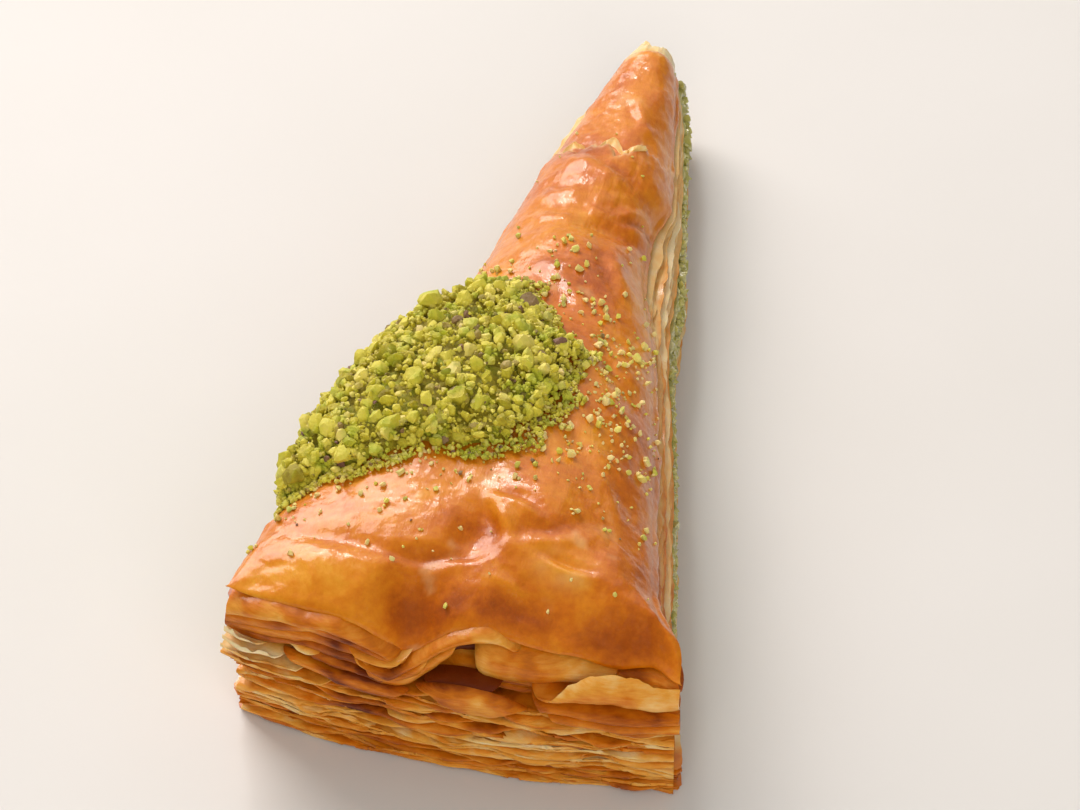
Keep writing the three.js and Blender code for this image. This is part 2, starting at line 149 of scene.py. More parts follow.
def side_of(t):
    """-1 on the left of the piece and 1 on its right."""
    return np.where(t < 0, -1.0, 1.0)


def points_of(*fields):
    """Points with the given fields as their coordinates, each stretched to the shape that all share."""
    return np.stack(np.broadcast_arrays(*fields), -1).astype(float)


def spots(table, s, t):
    """Sum of the listed spots: each is its height times a bell along the piece and a bell across it."""
    return sum(height * bell((s - at_s) / ds) * bell((t - at_t) / dt) for at_s, at_t, ds, dt, height in table)


def cloud(points, size, seed, octaves=1):
    """Smooth random field, about -1 to 1: random numbers at the corners of a lattice with the given
    spacing, looked up by products with large primes and blended by smoothed steps; each further octave has
    half the spacing and half the height."""
    table = np.random.default_rng(seed).uniform(-1, 1, CLOUD_NUMBERS)
    points = np.asarray(points, float)
    total = np.zeros(points.shape[:-1])
    for octave in range(octaves):
        scaled = points * (2**octave / np.asarray(size, float)) + 31.7 * octave
        whole = np.floor(scaled).astype(np.int64)
        part = smooth(scaled - whole)
        value = np.zeros_like(total)
        for corner in np.ndindex((2,) * points.shape[-1]):
            key, weight = 0, 1.0
            for axis, prime in zip(range(points.shape[-1]), CLOUD_PRIMES):
                key = key ^ ((whole[..., axis] + corner[axis]) * prime)
                weight = weight * np.where(corner[axis], part[..., axis], 1 - part[..., axis])
            value += weight * table[key & (CLOUD_NUMBERS - 1)]
        total += value / 2**octave
    return total


def normals_of(grid):
    """Unit normals of a grid of points whose rows run along the piece and columns across it: the cross
    product of its slopes along both ways, which points up."""
    across = np.gradient(grid, axis=1)
    along = np.gradient(grid, axis=0)
    n = np.cross(along, across)
    return n / np.maximum(np.linalg.norm(n, axis=-1, keepdims=True), 1e-9)


def through(rows, column, at):
    """A smooth curve through one column of a table whose rows start with their place: cubic pieces with
    slopes taken from the neighbouring rows."""
    xs, ys = np.array(rows, float)[:, [0, column]].T
    slopes = np.gradient(ys, xs)
    i = np.clip(np.searchsorted(xs, at, side="right") - 1, 0, len(xs) - 2)
    h = xs[i + 1] - xs[i]
    k = np.clip((at - xs[i]) / h, 0, 1)
    near = (1 + 2 * k) * (1 - k) ** 2 * ys[i] + k * (1 - k) ** 2 * h * slopes[i]
    return near + k * k * (3 - 2 * k) * ys[i + 1] - k * k * (1 - k) * h * slopes[i + 1]


# ---- the wedge's form ----
def drawn_in(s, side):
    """How far the crust's edge has shrunk back from the cut: a little at the waist on the left, and evenly
    on the right from the narrow part to the shoulder, with a little more before the waist and a flare at
    the corner."""
    left = WAIST_LEFT * bell((s - WAIST_AT) / 0.14)
    right = DRAWN_RIGHT * smooth((s - 0.23) / 0.06) * (1 - smooth((s - 0.9) / 0.08))
    right = right + WAIST_RIGHT * bell((s - WAIST_RIGHT_AT) / 0.06) - CORNER_FLARE * smooth((s - 0.93) / 0.05)
    return np.where(np.less(side, 0), left, right)


def half_width(s, side, shrunk=1.0):
    """Half the width at s on one side (-1 left, 1 right): a near straight taper with a blunt tip and a
    wandering cut. A sheet has its own share of what the crust has shrunk back, and the lower ones stand out
    on the right near the tip."""
    left = np.less(side, 0)
    straight = mix(TIP_HALF_WIDTH, OUTER_HALF_WIDTH, s**1.06) - 0.6 * np.where(left, -1, 1) * (1 - s)
    foot = np.where(left, 0, FOOT_RIGHT) * smooth(s / 0.06) * (1 - smooth((s - 0.3) / 0.16))
    wander = np.where(left, 0.4 * np.sin(7 * s + 1), 0.3 * np.sin(9 * s + 2.2)) * smooth(s / 0.2)
    blunt = mix(0.62, 1, rounded(s / 0.03))
    return (straight + foot * (1 - shrunk) - drawn_in(s, side) * shrunk + wander) * blunt


def lip_height(s, side):
    """Height of the crust's cut edge: three heights joined by smoothed steps, with a slow wave."""
    along = mix(TIP_LIP, WAIST_LIP, smooth(s / 0.65)) + (OUTER_LIP - WAIST_LIP) * smooth((s - 0.6) / 0.4)
    return along + 0.6 * np.sin(12 * s + side) * smooth(s / 0.3)


def end_wave(t):
    """Dips of the crust's edge across the outer end: slight at the left corner, deep left of the middle,
    long on the right."""
    return -1.3 * bell((t + 0.92) / 0.16) - 5.2 * bell((t + 0.19) / 0.15) - 3.2 * bell((t - 0.52) / 0.27)


def end_pull(t):
    """How far the crust's edge is drawn back from the tray's wall across the outer end."""
    return 1.2 + 3.0 * smooth((t + 0.4) / 0.5) - 3.6 * smooth((t - 0.84) / 0.16)


def tear_line(t):
    """Where the topmost sheet is torn across the narrow part, as s: a slant with a tongue, jagged by quick
    waves."""
    jag = 0.006 * np.sin(9 * t + 0.6) + 0.004 * np.sin(23 * t + 1) + 0.0015 * np.sin(57 * t)
    return TEAR_AT - 0.014 * t + 0.014 * bell((t - 0.12) / 0.13) + jag


def droop(s, t):
    """How far the crust's rim hangs down: a smoothed step both ways at the right half of the outer end, and
    a quarter round over the narrow tip."""
    return 3.6 * smooth((t - 0.5) / 0.25) * smooth((s - 0.955) / 0.045) + 2.0 * (1 - rounded(s / 0.016))


def crust_height(s, t):
    """Height of the crust: an arch between the two cut edges that rolls over at the outer end, with
    swellings, the torn sheet's step, the end's dips and the drooping rim added."""
    lip = mix(lip_height(s, -1), lip_height(s, 1), (t + 1) / 2)
    ridge = mix(TIP_HEIGHT, CREST_HEIGHT, smooth(s / 0.8))
    arch = (1 - np.minimum(1, np.abs(t)) ** 2.3) ** 0.55
    over = np.sqrt(np.maximum(0, 1 - np.clip((s - SHOULDER_AT) / (1 - SHOULDER_AT), 0, 1) ** 2.6))
    z = lip + (ridge - lip) * arch * over + spots(SWELLINGS, s, t) * np.sqrt(arch * over)
    past = s - tear_line(t)
    z = z + TEAR_STEP * smooth(past / TEAR_RUN) * (1 - smooth(past / 0.16)) * arch
    dips = end_wave(t) * smooth((s - 0.9) / 0.1) * np.sqrt(np.maximum(0, 1 - t * t))
    return z + dips - droop(s, t)


def place(s, x, z, out):
    """Point from its share of the length, its x and its height: stations are arcs about the tray's centre,
    and out moves a point away from that centre."""
    r = TIP_RADIUS + s * LENGTH + out
    off = x - OFF_AXIS * s
    return points_of(x, TRAY_CENTRE_Y - np.sqrt(np.maximum(1, r * r - off * off)), z)


def end_out(s, t, rise, pull):
    """How far a point near the outer end is moved in: the crust's draw back by its share, and the tray
    wall's taper."""
    return -end_pull(t) * pull * smooth((s - 0.8) / 0.2) - END_TAPER * smooth((s - 0.86) / 0.14) * (1 - rise)


def skin(s, p):
    """Smooth outer skin: p runs -1 to 1 from the left base edge, over the crust, to the right base edge;
    within LIP_P it is the crust, past it the cut side."""
    side = side_of(p)
    t = np.sin(np.clip(p / LIP_P, -1, 1) * math.pi / 2)
    top = place(s, half_width(s, side) * t, crust_height(s, t), end_out(s, t, 1, 1))
    rise = np.clip((1 - np.abs(p)) / (1 - LIP_P), 0, 1)
    x = side * half_width(s, side, rise**LEDGE)
    wall = place(s, x, lip_height(s, side) * rise, end_out(s, side, rise, rise**2))
    return np.where((np.abs(p) <= LIP_P)[..., None], top, wall)


def on_skin(s, p, lift):
    """Points lifted off the skin along its normal, which is the cross product of the skin's slopes along s
    and p."""
    d = 0.004
    along = skin(np.minimum(s + d, 1), p) - skin(np.maximum(s - d, 0), p)
    across = skin(s, np.minimum(p + d, 1)) - skin(s, np.maximum(p - d, -1))
    n = np.cross(along, across)
    n /= np.linalg.norm(n, axis=-1, keepdims=True)
    return skin(s, p) + n * np.asarray(lift)[..., None]



# ---- from arrays to pieces ----
def quads_of(ids):
    """Quads between the neighbours in a grid of point numbers."""
    return np.stack([ids[:-1, :-1], ids[1:, :-1], ids[1:, 1:], ids[:-1, 1:]], -1).reshape(-1, 4)


def shell_of_sheet(top, bottom):
    """A closed shell from two grids of points: the upper one, the lower one turned round, and a strip round
    their rims."""
    n, m = top.shape[:2]
    ids = np.arange(n * m).reshape(n, m)
    up, down = quads_of(ids)[:, [0, 3, 2, 1]], quads_of(ids + n * m)
    rim = np.concatenate([ids[0, :-1], ids[:-1, -1], ids[-1, :0:-1], ids[:0:-1, 0]])
    nxt = np.roll(rim, -1)
    strip = np.stack([rim, rim + n * m, nxt + n * m, nxt], -1)
    return np.concatenate([top.reshape(-1, 3), bottom.reshape(-1, 3)]), np.concatenate([up, down, strip])


def shell_of_block(point, counts):
    """A closed box of six grids that share their edges: point maps three shares, each 0 to 1, to a
    place."""
    shape = tuple(count + 1 for count in counts)
    lattice = np.stack(np.meshgrid(*(np.linspace(0, 1, count) for count in shape), indexing="ij"), -1)
    outside = np.zeros(shape, bool)
    for axis in range(3):
        index = [slice(None)] * 3
        for end in (0, -1):
            index[axis] = end
            outside[tuple(index)] = True
    ids = np.full(shape, -1)
    ids[outside] = np.arange(outside.sum())
    quads = []
    for axis in range(3):
        for end in (0, -1):
            face = quads_of(np.take(ids, end, axis=axis))
            turned = (end == 0) == (axis != 1)
            quads.append(face[:, ::-1] if turned else face)
    return point(*lattice[outside].T), np.concatenate(quads)


def shell_of_loops(loops):
    """A closed tube from a stack of closed loops, with an even number of points each; both ends are closed
    by a ladder of quads across the loop."""
    n, m = loops.shape[:2]
    ids = np.arange(n * m).reshape(n, m)
    nxt = np.roll(ids, -1, axis=1)
    side = np.stack([ids[:-1], nxt[:-1], nxt[1:], ids[1:]], -1).reshape(-1, 4)
    rung = np.arange(m // 2 - 1)
    cap = np.stack([rung, rung + 1, m - 2 - rung, m - 1 - rung], -1)
    return loops.reshape(-1, 3), np.concatenate([side, cap[:, ::-1], cap + (n - 1) * m])


def outward(shell):
    """The shell with its faces turned outwards: a closed shell's signed volume is positive when they point
    out."""
    points, faces = shell
    a, b, c = (points[faces[:, i]] for i in range(3))
    volume = np.einsum("ij,ij->i", a, np.cross(b, c)).sum()
    if faces.shape[1] == 4:
        d = points[faces[:, 3]]
        volume += np.einsum("ij,ij->i", a, np.cross(c, d)).sum()
    return (points, faces) if volume > 0 else (points, faces[:, ::-1])


def in_scene(name, data):
    """A new object of the scene with the given data."""
    made = bpy.data.objects.new(name, data)
    bpy.context.scene.collection.objects.link(made)
    return made


def piece(name, shells, material, replaces, fields, sharp_degrees=50):
    """One object from closed shells: their points and faces are joined in one mesh, in metres, with one
    number for each point in every named field."""
    shells = [outward(shell) for shell in shells]
    points = np.concatenate([s[0] for s in shells]) * 0.001
    starts = np.cumsum([0] + [len(s[0]) for s in shells[:-1]])
    faces = np.concatenate([s[1] + start for s, start in zip(shells, starts)])
    mesh = bpy.data.meshes.new(name)
    mesh.vertices.add(len(points))
    mesh.vertices.foreach_set("co", points.ravel())
    mesh.loops.add(faces.size)
    mesh.loops.foreach_set("vertex_index", faces.ravel())
    mesh.polygons.add(len(faces))
    mesh.polygons.foreach_set("loop_start", np.arange(len(faces)) * faces.shape[1])
    mesh.polygons.foreach_set("use_smooth", np.ones(len(faces), bool))
    mesh.update()
    mesh.validate()
    for key, values in fields.items():
        field = mesh.attributes.new(key, "FLOAT", "POINT")
        field.data.foreach_set("value", np.asarray(values, np.float32).ravel())
    mesh.set_sharp_from_angle(angle=math.radians(sharp_degrees))
    mesh.materials.append(material)
    made = in_scene(name, mesh)
    if replaces:
        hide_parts(*replaces)
    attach(made, "root")


def both_faces(field):
    """A sheet's field, once for its upper face and once for its lower one."""
    return np.tile(field.ravel(), 2)


def sheets_piece(name, made, sharp_degrees=50, browner=0.0):
    """One piece from sheets that come with their browning, all browner by the same amount."""
    shells, bakes = zip(*made)
    piece(name, shells, SHEETS, (), {"bake": np.concatenate(bakes) + browner}, sharp_degrees)


# ---- materials ----
def colour(code):
    """Linear colour from an sRGB hex code: each channel c is c / 12.92 up to 0.04045, and ((c + 0.055) /
    1.055)^2.4 above."""
    srgb = [int(code[i : i + 2], 16) / 255 for i in (1, 3, 5)]
    return (*[c / 12.92 if c <= 0.04045 else ((c + 0.055) / 1.055) ** 2.4 for c in srgb], 1.0)


def add(tree, kind, inputs=None, stops=None, **settings):
    """One shader node with its settings. Each input is a value, another node's output, or a node, which
    stands for its first output. stops are a ramp's colours."""
    made = tree.nodes.new(kind)
    for key, value in settings.items():
        setattr(made, key, value)
    for key, value in (inputs or {}).items():
        if isinstance(value, bpy.types.Node):
            value = value.outputs[0]
        if isinstance(value, bpy.types.NodeSocket):
            tree.links.new(value, made.inputs[key])
        else:
            made.inputs[key].default_value = value
    if stops:
        ramp = made.color_ramp.elements
        while len(ramp) < len(stops):
            ramp.new(0.5)
        for element, (at, code) in zip(ramp, stops):
            element.position = at
            element.color = colour(code)
    return made


def blank(name):
    """A new material, its node tree, emptied, and the object's own coordinates, which every pattern
    follows."""
    material = bpy.data.materials.new(name)
    material.use_nodes = True
    tree = material.node_tree
    tree.nodes.clear()
    return material, tree, add(tree, "ShaderNodeTexCoord").outputs["Object"]


def per_mm(size):
    """Scale of a noise whose grains are the given size in millimetres, on coordinates in metres."""
    return 1000.0 / size


def glazed_filo_crust():
    """Filo brushed with butter, baked golden to brown and soaked with syrup: a warm orange skin that lets
    some light in, mottled where it browned, with papery fine wrinkles under a thin, clear, sticky film that
    gives crisp highlights. It is paler where the flake field says that a dry sheet shows."""
    material, tree, where = blank("glazed_filo_crust")
    bake = add(tree, "ShaderNodeAttribute", attribute_name="bake").outputs["Fac"]
    flake = add(tree, "ShaderNodeAttribute", attribute_name="flake").outputs["Fac"]
    blotch = add(
        tree, "ShaderNodeTexNoise",
        {"Vector": where, "Scale": per_mm(9), "Detail": 4.0, "Roughness": 0.62, "Distortion": 0.8},
    )
    fleck = add(
        tree, "ShaderNodeTexNoise", {"Vector": where, "Scale": per_mm(1.2), "Detail": 3.0, "Roughness": 0.6}
    )
    a = add(tree, "ShaderNodeMath", {0: blotch, 1: 0.6, 2: bake}, operation="MULTIPLY_ADD")
    b = add(tree, "ShaderNodeMath", {0: fleck, 1: 0.3, 2: a}, operation="MULTIPLY_ADD")
    level = add(tree, "ShaderNodeMath", {0: b, 1: 0.45}, operation="SUBTRACT")
    baked = add(
        tree, "ShaderNodeValToRGB", {"Fac": level},
        stops=[
            (0.0, "#F2BE5C"), (0.2, "#E9A22E"), (0.4, "#DC8612"),
            (0.58, "#CA6C04"), (0.76, "#AC5202"), (1.0, "#803804"),
        ],
    )
    pale = add(tree, "ShaderNodeMix", {0: flake, 6: baked, 7: colour("#F0C88C")}, data_type="RGBA")
    stretched = add(tree, "ShaderNodeMapping", {"Vector": where, "Scale": (1.0, 0.3, 1.0)})
    wrinkle = add(
        tree, "ShaderNodeTexNoise",
        {"Vector": stretched, "Scale": per_mm(1.8), "Detail": 5.0, "Roughness": 0.65},
    )
    papery = add(tree, "ShaderNodeBump", {"Height": wrinkle, "Strength": 0.5, "Distance": 0.0005})
    film = add(
        tree, "ShaderNodeTexNoise", {"Vector": where, "Scale": per_mm(2.6), "Detail": 4.0, "Roughness": 0.6}
    )
    filmed = add(tree, "ShaderNodeBump", {"Height": film, "Strength": 0.35, "Distance": 0.0006})
    rough = add(tree, "ShaderNodeMapRange", {"Value": fleck, 1: 0.3, 2: 0.7, 3: 0.4, 4: 0.6})
    surface = add(
        tree, "ShaderNodeBsdfPrincipled",
        {
            "Base Color": pale.outputs[2], "Roughness": rough, "IOR": 1.45, "Specular IOR Level": 0.22,
            "Subsurface Weight": 0.1, "Subsurface Radius": (1.0, 0.4, 0.1), "Subsurface Scale": 0.002,
            "Coat Weight": 0.68, "Coat Roughness": 0.16, "Coat IOR": 1.46,
            "Normal": papery, "Coat Normal": filmed,
        },
    )
    add(tree, "ShaderNodeOutputMaterial", {"Surface": surface})
    return material


def buttered_filo_sheets():
    """Filo sheets seen at their cut and folded edges: pale cream where the oven didn't reach, gold to brown
    at the thin outer edges, streaked along the sheets, with a soft buttery sheen."""
    material, tree, where = blank("buttered_filo_sheets")
    bake = add(tree, "ShaderNodeAttribute", attribute_name="bake").outputs["Fac"]
    blotch = add(
        tree, "ShaderNodeTexNoise", {"Vector": where, "Scale": per_mm(5), "Detail": 4.0, "Roughness": 0.6}
    )
    flat = add(tree, "ShaderNodeMapping", {"Vector": where, "Scale": (1.0, 1.0, 6.0)})
    streak = add(tree, "ShaderNodeTexNoise", {"Vector": flat, "Scale": per_mm(2.2), "Detail": 4.0})
    a = add(tree, "ShaderNodeMath", {0: blotch, 1: 0.4, 2: bake}, operation="MULTIPLY_ADD")
    b = add(tree, "ShaderNodeMath", {0: streak, 1: 0.3, 2: a}, operation="MULTIPLY_ADD")
    level = add(tree, "ShaderNodeMath", {0: b, 1: 0.35}, operation="SUBTRACT")
    baked = add(
        tree, "ShaderNodeValToRGB", {"Fac": level},
        stops=[
            (0.0, "#F0DAAA"), (0.22, "#EDC27A"), (0.42, "#E49C3A"),
            (0.62, "#CE7410"), (0.82, "#A65206"), (1.0, "#662604"),
        ],
    )
    grain = add(tree, "ShaderNodeTexNoise", {"Vector": flat, "Scale": per_mm(0.9), "Detail": 4.0})
    papery = add(tree, "ShaderNodeBump", {"Height": grain, "Strength": 0.4, "Distance": 0.0003})
    surface = add(
        tree, "ShaderNodeBsdfPrincipled",
        {
            "Base Color": baked, "Roughness": 0.5, "IOR": 1.45, "Specular IOR Level": 0.25,
            "Subsurface Weight": 0.15, "Subsurface Radius": (1.0, 0.45, 0.15), "Subsurface Scale": 0.0016,
            "Coat Weight": 0.45, "Coat Roughness": 0.16, "Normal": papery,
        },
    )
    add(tree, "ShaderNodeOutputMaterial", {"Surface": surface})
    return material


def syrupy_pistachio_paste():
    """Chopped pistachio and clotted cream soaked in syrup: a wet, lumpy, grey-green paste with paler and
    greener bits."""
    material, tree, where = blank("syrupy_pistachio_paste")
    shaken = add(tree, "ShaderNodeTexNoise", {"Vector": where, "Scale": per_mm(1.5), "Detail": 3.0})
    moved = add(
        tree, "ShaderNodeVectorMath", {0: shaken.outputs["Color"], 1: (0.0016, 0.0016, 0.0016), 2: where},
        operation="MULTIPLY_ADD",
    )
    lumps = add(tree, "ShaderNodeTexVoronoi", {"Vector": moved, "Scale": per_mm(1.7)}, feature="F1")
    cells = add(tree, "ShaderNodeSeparateColor", {0: lumps.outputs["Color"]})
    tint = add(
        tree, "ShaderNodeValToRGB", {"Fac": cells},
        stops=[(0.0, "#8F8A36"), (0.3, "#B9B25A"), (0.55, "#D2CC8C"), (0.78, "#A8A444"), (1.0, "#7E7C2A")],
    )
    soft = add(tree, "ShaderNodeTexNoise", {"Vector": where, "Scale": per_mm(3), "Detail": 4.0})
    wet = add(tree, "ShaderNodeMix", {0: soft, 6: tint, 7: colour("#BDB66A")}, data_type="RGBA")
    bump = add(tree, "ShaderNodeBump", {"Height": shaken, "Strength": 0.8, "Distance": 0.0006})
    surface = add(
        tree, "ShaderNodeBsdfPrincipled",
        {
            "Base Color": wet.outputs[2], "Roughness": 0.35, "IOR": 1.45,
            "Subsurface Weight": 0.2, "Subsurface Radius": (0.8, 1.0, 0.4), "Subsurface Scale": 0.002,
            "Coat Weight": 0.8, "Coat Roughness": 0.1, "Normal": bump,
        },
    )
    add(tree, "ShaderNodeOutputMaterial", {"Surface": surface})
    return material


def ground_pistachio():
    """Pistachio kernels ground to crumbs: dry, matt, mealy chips, yellow-green inside, deeper green towards
    the outside of the kernel, with a few scraps of its purple-brown skin."""
    material, tree, where = blank("ground_pistachio")
    tone = add(tree, "ShaderNodeAttribute", attribute_name="tone").outputs["Fac"]
    peel = add(tree, "ShaderNodeAttribute", attribute_name="peel").outputs["Fac"]
    mottle = add(
        tree, "ShaderNodeTexNoise", {"Vector": where, "Scale": per_mm(0.9), "Detail": 4.0, "Roughness": 0.65}
    )
    a = add(tree, "ShaderNodeMath", {0: mottle, 1: 0.5, 2: tone}, operation="MULTIPLY_ADD")
    level = add(tree, "ShaderNodeMath", {0: a, 1: 0.25}, operation="SUBTRACT")
    meal = add(
        tree, "ShaderNodeValToRGB", {"Fac": level},
        stops=[
            (0.0, "#8C7C1C"), (0.2, "#B6A82E"), (0.42, "#D6CA42"),
            (0.62, "#E2D656"), (0.82, "#ECDC76"), (1.0, "#F2DA90"),
        ],
    )
    patch = add(tree, "ShaderNodeTexNoise", {"Vector": where, "Scale": per_mm(3.5), "Detail": 2.0})
    fresh = add(tree, "ShaderNodeMapRange", {"Value": patch, 1: 0.48, 2: 0.68, 3: 0.0, 4: 0.6})
    green = add(tree, "ShaderNodeMix", {0: fresh, 6: meal, 7: colour("#9DB22C")}, data_type="RGBA")
    skinned = add(
        tree, "ShaderNodeMix", {0: peel, 6: green.outputs[2], 7: colour("#7E5A50")}, data_type="RGBA"
    )
    bump = add(tree, "ShaderNodeBump", {"Height": mottle, "Strength": 0.9, "Distance": 0.0005})
    surface = add(
        tree, "ShaderNodeBsdfPrincipled",
        {
            "Base Color": skinned.outputs[2], "Roughness": 0.62, "IOR": 1.46,
            "Subsurface Weight": 0.15, "Subsurface Radius": (0.9, 1.0, 0.3), "Subsurface Scale": 0.0012,
            "Normal": bump,
        },
    )
    add(tree, "ShaderNodeOutputMaterial", {"Surface": surface})
    return material


def pale_stone():
    """A plain, pale, matt worktop with a very faint cloudiness."""
    material, tree, where = blank("pale_stone")
    faint = add(tree, "ShaderNodeTexNoise", {"Vector": where, "Scale": per_mm(90), "Detail": 3.0})
    tint = add(tree, "ShaderNodeValToRGB", {"Fac": faint}, stops=[(0.3, "#DAD9D6"), (0.7, "#DEDDDB")])
    surface = add(tree, "ShaderNodeBsdfPrincipled", {"Base Color": tint, "Roughness": 0.7})
    add(tree, "ShaderNodeOutputMaterial", {"Surface": surface})
    return material


CRUST = glazed_filo_crust()
SHEETS = buttered_filo_sheets()
PASTE = syrupy_pistachio_paste()
NUT = ground_pistachio()


# ---- the crust ----
# browning of the crust besides its relief, some of it painted light: place (s, t), spread (ds, dt) and how
# much browner
BROWNING = [
    (0.05, 0.0, 0.12, 1.5, -0.03),
    (0.205, -0.4, 0.02, 0.35, 0.22),
    (0.27, -0.5, 0.05, 0.4, -0.06),
    (0.315, 0.5, 0.03, 0.5, 0.2),
    (0.40, 0.5, 0.06, 0.4, 0.06),
    (0.42, 0.9, 0.12, 0.14, -0.16),
    (0.39, -0.15, 0.03, 0.4, -0.08),
    (0.89, 0.0, 0.03, 0.12, 0.1),
    # paler on the lobe at the nose's front left: a painted highlight where the lobe is lit
    (0.965, -0.62, 0.022, 0.26, -0.16),
    (0.965, -0.2, 0.035, 0.17, 0.18),
    (0.92, 0.5, 0.025, 0.15, -0.18),
    # browner at the nose's right corner: partly the crust's own browning, partly painted shade where it curls
    # in
    (0.98, 0.8, 0.03, 0.24, 0.2),
    (0.70, 0.85, 0.2, 0.12, 0.08),
    (0.86, 0.36, 0.05, 0.2, 0.08),
    (0.982, 0.3, 0.018, 0.35, 0.22),
    (0.975, -0.05, 0.016, 0.3, 0.12),
    (0.60, 0.35, 0.08, 0.2, 0.1),
    (0.47, 0.15, 0.03, 0.4, 0.06),
    (0.12, 0.5, 0.05, 0.4, 0.08),
]


def creases(s, t, width):
    """Height of all folds and creases: each is a bell along its run and, across it, a bell for a ridge or
    the slope of a bell for a step."""
    total = np.zeros(np.broadcast(s, t).shape)
    for at_s, at_t, turn, long, short, height, step in CREASES:
        across, along = (t - at_t) * width, (s - at_s) * LENGTH
        angle = math.radians(turn)
        u = (across * math.cos(angle) + along * math.sin(angle)) / long
        bend = 0.25 * np.sin(2.3 * u + 9 * at_t)
        v = (along * math.cos(angle) - across * math.sin(angle)) / short + bend
        total += height * bell(u) * bell(v) * mix(1, 2.3 * v, step)
    return total


def crust_surface(s, t):
    """The crust with its fine relief: the arch with its creases, plus slow undulations, lumps, blisters
    where a random field is above zero, and narrow wrinkles where another crosses zero. It is browner on
    what stands up and by the listed spots. Dry, pale sheet shows where smoothed steps of random fields say
    so: along the tear, in scuffs, at the bare tip and in a matt patch by the right corner."""
    width = half_width(s, side_of(t))
    base = place(s, width * t, crust_height(s, t), end_out(s, t, 1, 1))
    n = normals_of(base)
    n[0] = n[1]
    edge = np.minimum(1, (1 - np.abs(t)) / 0.06) * smooth((1 - s) / 0.012)
    fold = creases(s, t, width)
    slow = cloud(base, 13, 1, 2)
    lumps = cloud(base, 5.5, 10, 2)
    blister = np.maximum(0, cloud(base, 3.6, 2)) ** 2 * smooth(0.5 + 2 * cloud(base, 22, 3))
    wrinkle = 1 - np.minimum(1, np.abs(cloud(base * (1, 0.6, 1), 7, 4, 3)) / 0.16)
    creased = smooth(0.3 + 2 * cloud(base, 16, 9))
    fine = cloud(base, 1.3, 6, 2)
    lift = 0.9 * fold + 0.4 * slow + 0.18 * lumps + 0.4 * blister - 0.07 * wrinkle**2 * creased + 0.07 * fine
    points = base + n * (lift * mix(0.3, 1, edge))[..., None]
    bake = 0.5 + 0.12 * slow + 0.1 * blister - 0.12 * np.clip(fold, -1, 1) + spots(BROWNING, s, t)
    torn = bell((s - tear_line(t) - 0.003) / 0.006) * smooth(1.5 * cloud(base, 3, 8, 3) + 0.5)
    worn = smooth(1.5 * cloud(base, 24, 13) + 0.4) * smooth(2 - 2 * t)
    scuffs = smooth(2.2 * cloud(base, 5, 12, 3) - 1.3) * worn
    bare_tip = smooth((0.018 + 0.02 * cloud(base, 3.5, 14, 3) - s) / 0.01)
    matt = bell((s - 0.918) / 0.018) * bell((t - 0.5) / 0.12) * smooth(0.6 + cloud(base, 4, 15, 2))
    return points, n, bake, np.clip(torn + 0.35 * scuffs + 0.6 * bare_tip + 0.5 * matt, 0, 1)


def build_crust():
    """The crust as a closed shell: its surface, and the same surface lowered along its normal, thinner at
    its rim, which is ragged along both cuts. Gives back the surface's points and normals."""
    u = np.linspace(0, 1, 420)
    s = (1 - (1 - u) ** CRUST_ROWS_POWER)[:, None]
    t = np.sin(np.linspace(-1, 1, 161) * math.pi / 2)[None, :]
    s, t = np.broadcast_arrays(s, t)
    top, n, bake, flake = crust_surface(s, t)
    at_cuts = mix(0.45, 1, np.minimum(1, (1 - np.abs(t)) / 0.05))
    thick = CRUST_THICK * at_cuts * mix(0.5, 1, smooth((1 - s) / 0.02))
    rim = smooth((np.abs(t) - 0.985) / 0.015) * (1 - smooth((s - 0.965) / 0.03))
    ragged = np.zeros_like(top)
    ragged[..., 0] = np.sign(t) * rim * (0.45 + 0.35 * cloud(top, 4, 21, 3))
    ragged[..., 2] = -0.5 * rim * (0.5 + cloud(top, 9, 22, 2))
    top = top + ragged
    shell = shell_of_sheet(top, top - n * thick[..., None])
    fields = {"bake": both_faces(bake), "flake": both_faces(flake)}
    piece("crust", [shell], CRUST, ["pastry"], fields)
    return top, n


def on_crust(grid, s, p, lift):
    """Points lifted off the crust's finished surface, read from its grid by straight blends between
    neighbours."""
    top, n = grid
    rows, columns = top.shape[0] - 1, top.shape[1] - 1
    i = np.clip((1 - (1 - np.clip(s, 0, 1)) ** (1 / CRUST_ROWS_POWER)) * rows, 0, rows - 1e-6)
    j = np.clip((np.clip(p / LIP_P, -1, 1) + 1) / 2 * columns, 0, columns - 1e-6)
    i0, j0 = i.astype(int), j.astype(int)
    a, b = (i - i0)[..., None], (j - j0)[..., None]

    def blend(g):
        return mix(mix(g[i0, j0], g[i0 + 1, j0], a), mix(g[i0, j0 + 1], g[i0 + 1, j0 + 1], a), b)

    return blend(top) + blend(n) * lift[..., None]


